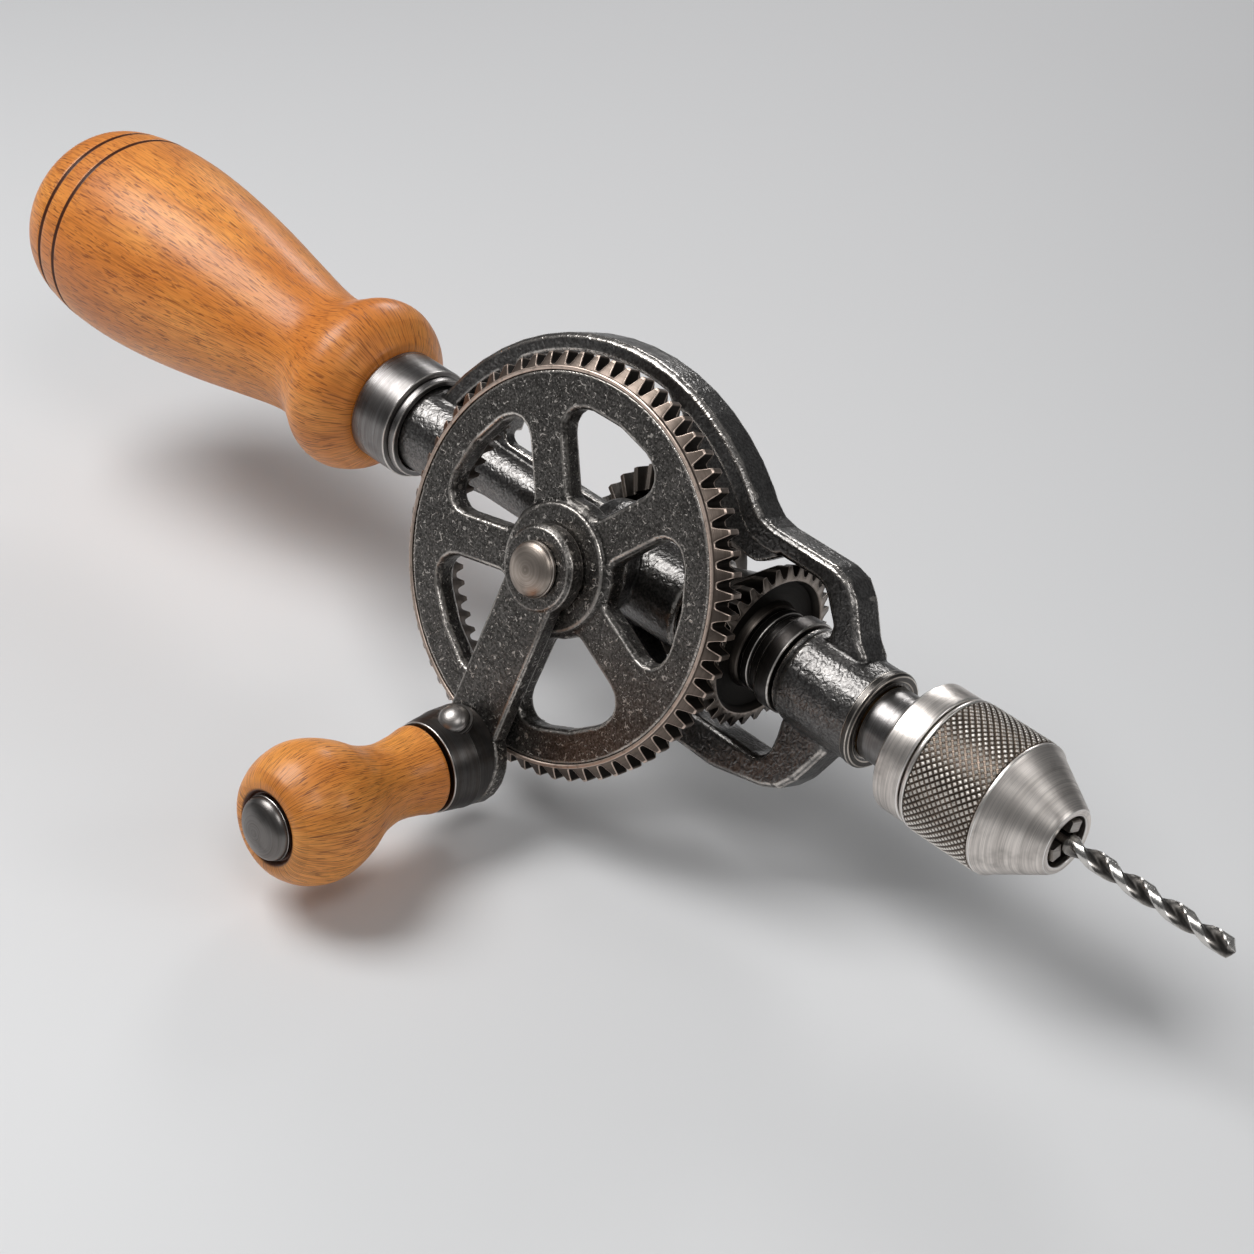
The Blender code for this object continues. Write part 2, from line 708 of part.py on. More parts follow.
BARREL_WAIST = BARREL_RADIUS - BARREL_LIP
barrel_profile = [
    (BARREL_START, BARREL_WAIST - BARREL_LIP),
    (BARREL_START + BARREL_LIP, BARREL_WAIST),
    (BARREL_START + BARREL_RING, BARREL_WAIST),
    (BARREL_START + BARREL_RING + BARREL_LIP, BARREL_RADIUS),
    (BARREL_END - BARREL_LIP, BARREL_RADIUS),
    (BARREL_END, BARREL_WAIST),
]
join(frame, turned("frame_barrel", barrel_profile, CAST_IRON, DRILL))

# The far side is cut flat, clear of the counter gear
FAR_FLAT = FRAME_HALF + FIT_GAP
FLAT_REACH = COUNTER_TIP + 2 * FIT_GAP
FLAT_LOW = CORE_RADIUS + OVERRUN
flat = [
    (-FLAT_REACH, -FLAT_LOW),
    (FLAT_REACH + OVERRUN, -FLAT_LOW),
    (FLAT_REACH + OVERRUN, FLAT_LOW),
    (-FLAT_REACH, FLAT_LOW),
]
cut(frame, plate("far_flat", flat, [], FAR_FLAT, FLAT_LOW, CAST_IRON, DRILL))


def bore(target, name, steps, parent=DRILL, place=ALONG_X, facets=LARGE_FACETS):
    """Cut a stepped hole, given as (along, radius) points."""
    cut(target, turned(name, steps, CAST_IRON, parent, place, facets))


TANG_BORE = TANG_RADIUS + FIT_GAP
AXLE_BORE = AXLE_RADIUS + FIT_GAP
REAR_BUSH_BORE = REAR_BUSH_RADIUS + FIT_GAP
POCKET_RADIUS = SMALL_PITCH + ADDENDUM + POCKET_GAP
POCKET_START = SMALL_START - 2 * FIT_GAP
tang_bore = [(-NECK_END - OVERRUN, TANG_BORE), (-TANG_FRAME_END, TANG_BORE)]
bore(frame, "tang_bore", tang_bore, facets=SMALL_FACETS)
bore(
    frame,
    "axle_bore",
    [(-CORE_RADIUS - OVERRUN, AXLE_BORE), (BOSS_FACE + OVERRUN, AXLE_BORE)],
    place=TOWARDS_CRANK,
    facets=SMALL_FACETS,
)
rear_bore = [
    (JOURNAL_START, REAR_BUSH_BORE),
    (POCKET_START, REAR_BUSH_BORE),
    (POCKET_START, POCKET_RADIUS),
    (CORE_END + OVERRUN, POCKET_RADIUS),
]
bore(frame, "rear_bore", rear_bore)
FRONT_BUSH_BORE = FRONT_BUSH_RADIUS + FIT_GAP
barrel_bore = [(BARREL_START - OVERRUN, FRONT_BUSH_BORE), (BARREL_END + OVERRUN, FRONT_BUSH_BORE)]
bore(frame, "barrel_bore", barrel_bore)


# Main handle: a turned beech handle with two burnt rings, a steel ferrule and a
# steel tang that joins it to the frame's neck


def handle_point(along, radius):
    return (-HANDLE_FRONT - along * HANDLE_LENGTH, radius * HANDLE_RADIUS)


def outline_radius(table, along):
    for (start, low), (end, high) in zip(table, table[1:]):
        if along <= end:
            return low + (high - low) * (along - start) / (end - start)
    return table[-1][1]


SPIGOT_END = HANDLE_FRONT - SPIGOT_LENGTH
TANG_END = NECK_END + TANG_DEPTH
full_outline_shares = HANDLE_OUTLINE_SHARES + DOME_OUTLINE_SHARES
handle_profile = [
    (-TANG_END - FIT_GAP, 0),
    (-TANG_END - FIT_GAP, TANG_BORE),
    (-SPIGOT_END, TANG_BORE),
    (-SPIGOT_END, NECK_RADIUS),
    (-HANDLE_FRONT, NECK_RADIUS),
]
handle_profile += [handle_point(*spot) for spot in HANDLE_OUTLINE_SHARES]
for middle in GROOVE_SHARES:
    for step, depth in ((-1, 0), (-0.5, GROOVE_DEPTH), (0.5, GROOVE_DEPTH), (1, 0)):
        along = middle + step * GROOVE_WIDTH_SHARE
        x, radius = handle_point(along, outline_radius(full_outline_shares, along))
        handle_profile.append((x, radius - depth))
handle_profile += [handle_point(*spot) for spot in DOME_OUTLINE_SHARES]
handle_profile.append((-HANDLE_END, 0))
turned("main_handle", handle_profile, BEECH, DRILL)

FERRULE_BACK = HANDLE_FRONT - FIT_GAP
FERRULE_BORE = NECK_RADIUS + FIT_GAP
ferrule_profile = [
    (-FERRULE_BACK, FERRULE_BORE),
    (-FERRULE_BACK, FERRULE_RADIUS),
    (-FERRULE_FRONT - FERRULE_GRIP / 2, FERRULE_RADIUS),
    (-FERRULE_FRONT, FERRULE_NOSE_RADIUS),
    (-FERRULE_FRONT, FERRULE_BORE),
]
turned("handle_ferrule", ferrule_profile, BLUED_STEEL, DRILL, closed=True)

tang_profile = [
    (-TANG_END, TANG_RADIUS / 2),
    (-TANG_END + TANG_RADIUS / 2, TANG_RADIUS),
    (-TANG_FRAME_END - FIT_GAP, TANG_RADIUS),
]
turned("handle_tang", tang_profile, BRIGHT_STEEL, DRILL, facets=SMALL_FACETS)


# Axle: one steel pin through the frame carries the wheel and the counter gear

def dome(start, radius, height):
    """Points of a domed end, from its rim to its top on the axis."""
    spots = []
    for i in range(DOME_STEPS):
        angle = math.pi / 2 * i / DOME_STEPS
        spots.append((start + height * math.sin(angle), radius * math.cos(angle)))
    return spots + [(start + height, 0)]


pin_profile = [
    (-PIN_END, AXLE_RADIUS),
    (HEAD_SEAT, AXLE_RADIUS),
    (HEAD_SEAT, AXLE_HEAD_RADIUS),
    *dome(HEAD_SEAT + AXLE_HEAD_RIM, AXLE_HEAD_RADIUS, AXLE_HEAD_HEIGHT - AXLE_HEAD_RIM),
]
turned("axle_pin", pin_profile, BRIGHT_STEEL, DRILL, TOWARDS_CRANK, SMALL_FACETS)

WASHER_START = COUNTER_BACK + FIT_GAP
WASHER_END = WASHER_START + WASHER_THICKNESS
NUT_START = WASHER_END + FIT_GAP
NUT_RADIUS = NUT_FLATS / math.sqrt(3)


def collar(start, end, bore_radius, radius):
    """Outline of a plain ring between two places on its axis."""
    return [(start, bore_radius), (start, radius), (end, radius), (end, bore_radius)]


washer_profile = collar(WASHER_START, WASHER_END, AXLE_BORE, WASHER_RADIUS)
turned("axle_washer", washer_profile, BLUED_STEEL, DRILL, AWAY_FROM_CRANK, SMALL_FACETS, True)
nut_profile = [(NUT_START, NUT_RADIUS), (NUT_END, NUT_RADIUS)]
nut = turned("axle_nut", nut_profile, BLUED_STEEL, DRILL, AWAY_FROM_CRANK, NUT_FACETS)
nut_hole = [(NUT_START - OVERRUN, AXLE_BORE), (NUT_END + OVERRUN, AXLE_BORE)]
bore(nut, "nut_hole", nut_hole, DRILL, AWAY_FROM_CRANK, SMALL_FACETS)

BUSH_RADIUS = AXLE_BORE + BUSH_WALL
bush_profile = collar(HUB_BACK, HUB_FRONT, AXLE_BORE, BUSH_RADIUS)
turned("wheel_bush", bush_profile, BRONZE, CRANK_GROUP, TOWARDS_CRANK, SMALL_FACETS, True)


# Gears: each is a ring of outlines round its own axis. A plain outline has one
# point to a tooth space, a toothed one has the two root and two tip points of
# each tooth. The teeth stand halfway between the plain points.


def gear(name, count, stations, look, parent, place):
    """Build a gear from (along, radius) and (along, radius, along, radius, share) stations."""
    pitch = FULL_TURN / count
    made = bmesh.new()

    def spot(along, radius, angle):
        return made.verts.new(place @ Vector((radius * math.cos(angle), radius * math.sin(angle), along)))

    rows = []
    for station in stations:
        row = []
        for number in range(count):
            if len(station) == 2:
                row.append(spot(*station, number * pitch))
                continue
            root_along, root_radius, tip_along, tip_radius, root_share = station
            middle = (number + 0.5) * pitch
            root_half = root_share * pitch / 2
            tip_half = TOOTH_TIP_SHARE * pitch / 2
            row.append(spot(root_along, root_radius, middle - root_half))
            row.append(spot(tip_along, tip_radius, middle - tip_half))
            row.append(spot(tip_along, tip_radius, middle + tip_half))
            row.append(spot(root_along, root_radius, middle + root_half))
        rows.append(row)
    for low, high in zip(rows, rows[1:] + rows[:1]):
        if len(low) == len(high):
            for i in range(len(low)):
                j = (i + 1) % len(low)
                made.faces.new((low[i], low[j], high[j], high[i]))
            continue
        plain, toothed = (low, high) if len(low) < len(high) else (high, low)
        for i in range(count):
            this, following = plain[i], plain[(i + 1) % count]
            root, tip, next_tip, next_root = toothed[4 * i : 4 * i + 4]
            made.faces.new((this, following, next_tip, tip))
            made.faces.new((this, tip, root))
            made.faces.new((following, next_root, next_tip))
            made.faces.new((following, toothed[(4 * i + 4) % len(toothed)], next_root))
    return finish(name, made, look, parent)


# Drive wheel: a spoked wheel with a raised lip. Its teeth stand out past the rim
# and run back on the cone that the pinion rolls on.

WINDOW_OUTER = RING_RADIUS - RIM_WIDTH
LIP_FRONT = WHEEL_FRONT + LIP_RAISE
LIP_INNER = RING_RADIUS - LIP_WIDTH
TOOTH_FRONT = WHEEL_FRONT - TOOTH_SETBACK
TOOTH_BACK = TOOTH_FRONT - TOOTH_LAND
CROWN_ROOT = WHEEL_FRONT - TOOTH_ROOT_STEP

wheel_stations = [
    (HUB_BACK, BUSH_RADIUS + FIT_GAP),
    (HUB_BACK, HUB_BACK_RADIUS),
    (WEB_BACK, HUB_BACK_RADIUS + HUB_RAISE),
    (WEB_BACK, TOOTH_INNER - RIM_BACK_STEP),
    (
        wheel_depth(TOOTH_INNER, -DEDENDUM),
        TOOTH_INNER,
        wheel_depth(TOOTH_INNER, ADDENDUM),
        TOOTH_INNER,
        TOOTH_ROOT_SHARE,
    ),
    (
        wheel_depth(WHEEL_PITCH, -DEDENDUM),
        WHEEL_PITCH,
        wheel_depth(WHEEL_PITCH, ADDENDUM),
        WHEEL_PITCH,
        TOOTH_ROOT_SHARE,
    ),
    (
        wheel_depth(RING_RADIUS, -DEDENDUM),
        RING_RADIUS,
        TOOTH_BACK,
        WHEEL_OUTER - TOOTH_TAPER,
        CROWN_ROOT_SHARE,
    ),
    (CROWN_ROOT, RING_RADIUS, TOOTH_FRONT, WHEEL_OUTER, CROWN_ROOT_SHARE),
    (CROWN_ROOT + LIP_BEVEL, RING_RADIUS - LIP_BEVEL),
    (LIP_FRONT, RING_RADIUS - LIP_BEVEL),
    (LIP_FRONT, LIP_INNER + LIP_BEVEL),
    (WHEEL_FRONT, LIP_INNER),
    (WHEEL_FRONT, HUB_RADIUS + HUB_RAISE / 2),
    (HUB_FRONT, HUB_RADIUS),
    (HUB_FRONT, BUSH_RADIUS + FIT_GAP),
]
wheel = gear("drive_wheel", WHEEL_TEETH, wheel_stations, CAST_IRON, CRANK_GROUP, TOWARDS_CRANK)


def window_outline(grow, depth):
    """One window between two spokes, grown by a distance, at a depth."""
    inner = HUB_CLEAR - grow
    outer = WINDOW_OUTER + grow
    half_spoke = SPOKE_WIDTH / 2 - grow
    sector = FULL_TURN / SPOKE_COUNT
    low_inner = math.asin(half_spoke / inner)
    low_outer = math.asin(half_spoke / outer)
    corner = WINDOW_CORNER + grow
    outer_arc = arc((0, 0), outer, low_outer, sector - low_outer, 4)
    inner_arc = arc((0, 0), inner, sector - low_inner, low_inner, 2)
    corners = [(*outer_arc[0], corner)]
    corners += [(x, z, 0) for x, z in outer_arc[1:-1]]
    corners += [(*outer_arc[-1], corner), (*inner_arc[0], corner / 2)]
    corners += [(x, z, 0) for x, z in inner_arc[1:-1]]
    corners.append((*inner_arc[-1], corner / 2))
    return [Vector((x, -depth, z)) for x, z in rounded(corners)]


window_depths = (
    (WINDOW_CHAMFER, WHEEL_FRONT + FIT_GAP),
    (0, WHEEL_FRONT - WINDOW_CHAMFER),
    (0, WEB_BACK + WINDOW_CHAMFER),
    (WINDOW_CHAMFER, WEB_BACK - FIT_GAP),
)
for number in range(SPOKE_COUNT):
    spin = Matrix.Rotation(-SPOKE_ANGLE - FULL_TURN * number / SPOKE_COUNT, 4, "Y")
    rings = [[spin @ spot for spot in window_outline(*step)] for step in window_depths]
    cut(wheel, loft("wheel_window_%d" % (number + 1), rings, CAST_IRON, CRANK_GROUP))


# Crank: a forged arm keyed to the wheel's hub by two dowels

boss_span = math.asin(ARM_WIDTH / 2 / CRANK_BOSS_RADIUS)
end_span = math.asin(ARM_WIDTH / 2 / SOCKET_RADIUS)
end_middle = (CRANK_THROW * math.cos(CRANK_ANGLE), CRANK_THROW * math.sin(CRANK_ANGLE))
arm_outline = arc(
    (0, 0),
    CRANK_BOSS_RADIUS,
    CRANK_ANGLE + boss_span,
    CRANK_ANGLE + FULL_TURN - boss_span,
    18,
)
arm_outline += arc(
    end_middle,
    SOCKET_RADIUS,
    CRANK_ANGLE - math.pi + end_span,
    CRANK_ANGLE + math.pi - end_span,
    16,
)
crank = plate(
    "crank_arm",
    arm_outline,
    [],
    -ARM_FRONT,
    -ARM_BACK,
    CAST_IRON,
    CRANK_GROUP,
    ARM_BEVEL,
)
boss = [
    (CRANK_BACK, CRANK_BOSS_RADIUS - ARM_BEVEL),
    (CRANK_BACK + ARM_BEVEL, CRANK_BOSS_RADIUS),
    (CRANK_FRONT - EDGE_BEVEL, CRANK_BOSS_RADIUS),
    (CRANK_FRONT, CRANK_BOSS_RADIUS - EDGE_BEVEL),
]
join(crank, turned("crank_boss", boss, CAST_IRON, CRANK_GROUP, TOWARDS_CRANK))
crank_bore = [(CRANK_BACK - OVERRUN, AXLE_BORE), (CRANK_FRONT + OVERRUN, AXLE_BORE)]
bore(crank, "crank_bore", crank_bore, CRANK_GROUP, TOWARDS_CRANK, SMALL_FACETS)

# Two dowels cross from the hub into the crank's boss
DOWEL_START = HUB_FRONT - DOWEL_DEPTH
DOWEL_END = CRANK_BACK + DOWEL_DEPTH
for number, side in enumerate((-1, 1)):
    place = seat_at(Vector((side * DOWEL_PITCH, 0, 0)), -Y_AXIS, X_AXIS)
    name = "drive_dowel_%d" % (number + 1)
    dowel = [(DOWEL_START, DOWEL_RADIUS), (DOWEL_END, DOWEL_RADIUS)]
    turned(name, dowel, BRIGHT_STEEL, CRANK_GROUP, place, PIN_FACETS)
    hole_radius = DOWEL_RADIUS + FIT_GAP
    hole = [(DOWEL_START - FIT_GAP, hole_radius), (DOWEL_END + FIT_GAP, hole_radius)]
    name = "dowel_hole_%d" % (number + 1)
    drilled = turned(name, hole, CAST_IRON, CRANK_GROUP, place, PIN_FACETS)
    cut(crank, drilled)
    cut(wheel, drilled)


# Grip: a socket riveted to the arm, a headed pin and the wooden grip that turns
# on it, all on the leaning axis of their own empty

PIN_HOLE = GRIP_PIN_RADIUS + FIT_GAP
SOCKET_BACK = SOCKET_RADIUS * math.sin(GRIP_LEAN) + FIT_GAP
SOCKET_SLOPE = (SOCKET_RADIUS + SOCKET_MOUTH) / 2
socket_profile = [
    (-SOCKET_BACK, PIN_HOLE),
    (-SOCKET_BACK, SOCKET_RADIUS),
    (SOCKET_SHOULDER, SOCKET_RADIUS),
    ((SOCKET_SHOULDER + SOCKET_LENGTH) / 2, SOCKET_SLOPE),
    (SOCKET_LENGTH, SOCKET_MOUTH),
    (SOCKET_LENGTH, PIN_HOLE),
]
socket = turned("grip_socket", socket_profile, BLUED_STEEL, GRIP_GROUP, ALONG_Z, closed=True)
SEAT_REACH = CRANK_THROW + SOCKET_LENGTH + SOCKET_RADIUS
seat = [
    (-SEAT_REACH, -SEAT_REACH),
    (SEAT_REACH, -SEAT_REACH),
    (SEAT_REACH, SEAT_REACH),
    (-SEAT_REACH, SEAT_REACH),
]
cut(socket, plate("socket_seat", seat, [], -ARM_FRONT - FIT_GAP, 0, BLUED_STEEL, CRANK_GROUP))

# The rivet's shank runs through the socket's shoulder to the grip pin's hole
RIVET_DIRECTION = Vector((math.cos(RIVET_LEAN), 0, math.sin(RIVET_LEAN)))
RIVET_SPOT = Vector((SOCKET_RADIUS - RIVET_SINK, 0, SOCKET_SHOULDER))
RIVET_PLACE = seat_at(RIVET_SPOT, RIVET_DIRECTION, Y_AXIS)
RIVET_LENGTH = SOCKET_RADIUS - PIN_HOLE - RIVET_HEAD
rivet_profile = [
    (-RIVET_LENGTH, RIVET_SHANK),
    (0, RIVET_SHANK),
    *dome(0, RIVET_HEAD, RIVET_HEIGHT),
]
turned("socket_rivet", rivet_profile, BRIGHT_STEEL, GRIP_GROUP, RIVET_PLACE, SMALL_FACETS)
rivet_hole = [
    (-RIVET_LENGTH - FIT_GAP, RIVET_SHANK + FIT_GAP),
    (-FIT_GAP, RIVET_SHANK + FIT_GAP),
    (-FIT_GAP, RIVET_HEAD + FIT_GAP),
    (SOCKET_RADIUS, RIVET_HEAD + FIT_GAP),
]
bore(socket, "rivet_hole", rivet_hole, GRIP_GROUP, RIVET_PLACE, SMALL_FACETS)

BUTTON_SEAT = GRIP_END - BUTTON_RECESS + FIT_GAP
grip_pin_profile = [
    (-PIN_SINK, GRIP_PIN_RADIUS),
    (BUTTON_SEAT, GRIP_PIN_RADIUS),
    (BUTTON_SEAT, BUTTON_RADIUS),
    *dome(BUTTON_SEAT + BUTTON_RIM, BUTTON_RADIUS, BUTTON_HEIGHT - BUTTON_RIM),
]
turned("grip_pin", grip_pin_profile, BRIGHT_STEEL, GRIP_GROUP, ALONG_Z, SMALL_FACETS)
pin_hole = [(-PIN_SINK - FIT_GAP, PIN_HOLE), (SOCKET_LENGTH, PIN_HOLE)]
bore(crank, "arm_pin_hole", pin_hole, GRIP_GROUP, ALONG_Z, SMALL_FACETS)

grip_profile = [(SOCKET_END, PIN_HOLE)]
for along, radius in GRIP_OUTLINE_SHARES:
    grip_profile.append((SOCKET_END + along * GRIP_LENGTH, radius * GRIP_RADIUS))
grip_profile += [
    (GRIP_END, BUTTON_RADIUS + 2 * FIT_GAP),
    (GRIP_END - BUTTON_RECESS, BUTTON_RADIUS + FIT_GAP),
    (GRIP_END - BUTTON_RECESS, PIN_HOLE),
]
turned("crank_grip", grip_profile, BEECH, GRIP_GROUP, ALONG_Z, GRIP_FACETS, True)


# Drive pinion: a cone shaped hub that widens into its teeth


def spindle_radius(x, height):
    """Radius of the drive pinion's tooth cone at a place along the spindle."""
    return (PINION_PITCH + height * DRIVE_COS) * x / WHEEL_PITCH


PINION_ROOT_START = PINION_START - PINION_SLOPE
PINION_BORE = SPINDLE_RADIUS + FIT_GAP
pinion_stations = [
    (HUB_START, PINION_BORE),
    (HUB_START, PINION_HUB_RADIUS),
    (PINION_ROOT_START - FIT_GAP, spindle_radius(PINION_ROOT_START, -DEDENDUM) - FIT_GAP),
    (
        PINION_ROOT_START,
        spindle_radius(PINION_ROOT_START, -DEDENDUM),
        PINION_START,
        spindle_radius(PINION_START, ADDENDUM),
        TOOTH_ROOT_SHARE,
    ),
    (
        PINION_END,
        spindle_radius(WHEEL_PITCH, -DEDENDUM),
        WHEEL_PITCH,
        spindle_radius(WHEEL_PITCH, ADDENDUM),
        TOOTH_ROOT_SHARE,
    ),
    (PINION_END, spindle_radius(WHEEL_PITCH, -DEDENDUM) - DEDENDUM),
    (PINION_END, PINION_BORE),
]
pinion = gear("drive_pinion", PINION_TEETH, pinion_stations, CAST_IRON, SPINDLE_GROUP, ALONG_X)


# Small pinion on the spindle's rear end


def small_radius(x, height):
    """Radius of the small pinion's tooth cone at a place along the spindle."""
    return (SMALL_PITCH + height * COUNTER_COS) * x / COUNTER_PITCH


SMALL_BORE = JOURNAL_RADIUS + FIT_GAP
small_stations = [
    (SMALL_START, SMALL_BORE),
    (SMALL_START, small_radius(SMALL_START, -DEDENDUM) - FIT_GAP),
    (
        SMALL_START + FIT_GAP,
        small_radius(SMALL_START, -DEDENDUM),
        SMALL_START + 2 * FIT_GAP,
        small_radius(SMALL_START, ADDENDUM),
        TOOTH_ROOT_SHARE,
    ),
    (
        SMALL_END - FIT_GAP,
        small_radius(COUNTER_PITCH, -DEDENDUM),
        COUNTER_PITCH,
        small_radius(COUNTER_PITCH, ADDENDUM),
        TOOTH_ROOT_SHARE,
    ),
    (SMALL_END, small_radius(COUNTER_PITCH, -DEDENDUM) - FIT_GAP),
    (SMALL_END, SMALL_BORE),
]
gear("small_pinion", SMALL_PINION_TEETH, small_stations, BLUED_STEEL, SPINDLE_GROUP, ALONG_X)


# Counter gear: turns on the far side of the axle and meshes with the small
# pinion, which keeps the spindle from being pushed sideways


def counter_depth(radius, height):
    """Distance from the spindle axis to the counter gear's tooth cone at a radius."""
    return (SMALL_PITCH - height * COUNTER_COS) * radius / COUNTER_PITCH


COUNTER_FRONT = FAR_FLAT + FIT_GAP
COUNTER_INNER = COUNTER_PITCH - COUNTER_FACE
COUNTER_RECESS = counter_depth(COUNTER_INNER, -DEDENDUM) + COUNTER_RIM_CHAMFER
counter_stations = [
    (COUNTER_FRONT, AXLE_BORE),
    (COUNTER_FRONT, COUNTER_HUB_RADIUS),
    (COUNTER_RECESS, COUNTER_HUB_RADIUS + COUNTER_RIM_CHAMFER),
    (COUNTER_RECESS, COUNTER_INNER - COUNTER_RIM_CHAMFER),
    (
        counter_depth(COUNTER_INNER, -DEDENDUM),
        COUNTER_INNER,
        counter_depth(COUNTER_INNER, ADDENDUM),
        COUNTER_INNER,
        TOOTH_ROOT_SHARE,
    ),
    (
        counter_depth(COUNTER_TIP, -DEDENDUM),
        COUNTER_TIP,
        counter_depth(COUNTER_TIP, ADDENDUM),
        COUNTER_TIP,
        TOOTH_ROOT_SHARE,
    ),
    (COUNTER_BACK - COUNTER_RIM_CHAMFER, COUNTER_TIP),
    (COUNTER_BACK, COUNTER_TIP - COUNTER_RIM_CHAMFER),
    (COUNTER_BACK, AXLE_BORE),
]
gear("counter_gear", COUNTER_TEETH, counter_stations, CAST_IRON, COUNTER_GROUP, AWAY_FROM_CRANK)


# Spindle with its collar, pin, bushes and thrust rings

STEP_SPOT = SMALL_END + FIT_GAP
RING_BORE = SPINDLE_RADIUS + FIT_GAP
spindle_profile = [
    (JOURNAL_START + FIT_GAP, JOURNAL_RADIUS),
    (STEP_SPOT, JOURNAL_RADIUS),
    (STEP_SPOT, SPINDLE_RADIUS),
    (NECK_START, SPINDLE_RADIUS),
    (NECK_START, SPINDLE_COLLAR_RADIUS),
    (CHUCK_START - FIT_GAP, SPINDLE_COLLAR_RADIUS),
    (CHUCK_START - FIT_GAP, THREAD_RADIUS),
    (CHUCK_START + THREAD_LENGTH, THREAD_RADIUS),
]
spindle = turned("spindle", spindle_profile, BLUED_STEEL, SPINDLE_GROUP)

PIN_PLACE = seat_at(Vector(((HUB_START + PINION_ROOT_START) / 2, 0, 0)), Z_AXIS, X_AXIS)
PIN_HALF = PINION_HUB_RADIUS - FIT_GAP
pin_shape = [(-PIN_HALF, PIN_RADIUS), (PIN_HALF, PIN_RADIUS)]
turned("pinion_pin", pin_shape, BRIGHT_STEEL, SPINDLE_GROUP, PIN_PLACE, PIN_FACETS)
HOLE_HALF = PINION_PITCH
hole_shape = [(-HOLE_HALF, PIN_RADIUS + FIT_GAP), (HOLE_HALF, PIN_RADIUS + FIT_GAP)]
pin_way = turned("pinion_pin_hole", hole_shape, CAST_IRON, SPINDLE_GROUP, PIN_PLACE, PIN_FACETS)
cut(pinion, pin_way)
cut(spindle, pin_way)

COLLAR_END = COLLAR_START + COLLAR_THICKNESS
RACE_END = RACE_START + RACE_THICKNESS
thrust_collar = collar(COLLAR_START, COLLAR_END, RING_BORE, COLLAR_RADIUS)
turned("thrust_collar", thrust_collar, BLUED_STEEL, SPINDLE_GROUP, closed=True)
thrust_race = collar(RACE_START, RACE_END, RING_BORE, RACE_RADIUS)
turned("thrust_race", thrust_race, BLUED_STEEL, DRILL, closed=True)
front_bush = collar(BARREL_START, BARREL_END, RING_BORE, FRONT_BUSH_RADIUS)
turned("front_bush", front_bush, BRONZE, DRILL, closed=True)
rear_bush = collar(JOURNAL_START + FIT_GAP, POCKET_START, JOURNAL_RADIUS + FIT_GAP, REAR_BUSH_RADIUS)
turned("rear_bush", rear_bush, BRONZE, DRILL, closed=True)


# Chuck: a body screwed on the spindle with three slanted jaw slots, a knurled
# sleeve with a ring nut that drives the jaws, and the jaws round the bit

BIT_BORE = BIT_RADIUS + JAW_DEPTH / 2
CORE_LENGTH = THREAD_LENGTH + 2 * FIT_GAP
GUIDE_CONE = CONE_START - SLEEVE_WALL / 2
GUIDE_NOSE = CHUCK_END - 2 * SLEEVE_WALL
JAW_SLOPE = math.tan(JAW_ANGLE)
JAW_FACE = MOUTH_RADIUS - 3 * FIT_GAP


def jaw_outer(x):
    return JAW_FACE + (JAW_TIP - x) * JAW_SLOPE


NUT_RING_START = JAW_TAIL + NUT_RING_WIDTH / 2
NUT_RING_END = NUT_RING_START + NUT_RING_WIDTH
GROOVE_FLOOR = jaw_outer(NUT_RING_END) - FIT_GAP
NUT_RING_BORE = jaw_outer(NUT_RING_START) + FIT_GAP
GUIDE_RADIUS = NUT_RING_BORE + NUT_RING_DEPTH
SLEEVE_BORE = GUIDE_RADIUS + FIT_GAP
SLEEVE_RADIUS = SLEEVE_BORE + SLEEVE_WALL
CHUCK_BAND_RADIUS = SLEEVE_RADIUS - CHUCK_BAND_STEP
NOSE_SLOPE = (SLEEVE_RADIUS - NOSE_RADIUS) / NOSE_LENGTH
body_profile = [
    (CHUCK_START, THREAD_RADIUS + FIT_GAP),
    (CHUCK_START, CHUCK_BAND_RADIUS - BARREL_LIP),
    (CHUCK_START + BARREL_LIP, CHUCK_BAND_RADIUS),
    (SLEEVE_START - FIT_GAP, CHUCK_BAND_RADIUS),
    (SLEEVE_START - FIT_GAP, GUIDE_RADIUS),
    (NUT_RING_START - FIT_GAP, GUIDE_RADIUS),
    (NUT_RING_START - FIT_GAP, GROOVE_FLOOR),
    (NUT_RING_END + FIT_GAP, GROOVE_FLOOR),
    (NUT_RING_END + FIT_GAP, GUIDE_RADIUS),
    (GUIDE_CONE, GUIDE_RADIUS),
    (GUIDE_NOSE, GUIDE_RADIUS - (GUIDE_NOSE - GUIDE_CONE) * NOSE_SLOPE),
    (GUIDE_NOSE, BIT_BORE),
    (CHUCK_START + CORE_LENGTH, BIT_BORE),
    (CHUCK_START + CORE_LENGTH, THREAD_RADIUS + FIT_GAP),
]
body = turned("chuck_body", body_profile, BRUSHED_STEEL, SPINDLE_GROUP, closed=True)

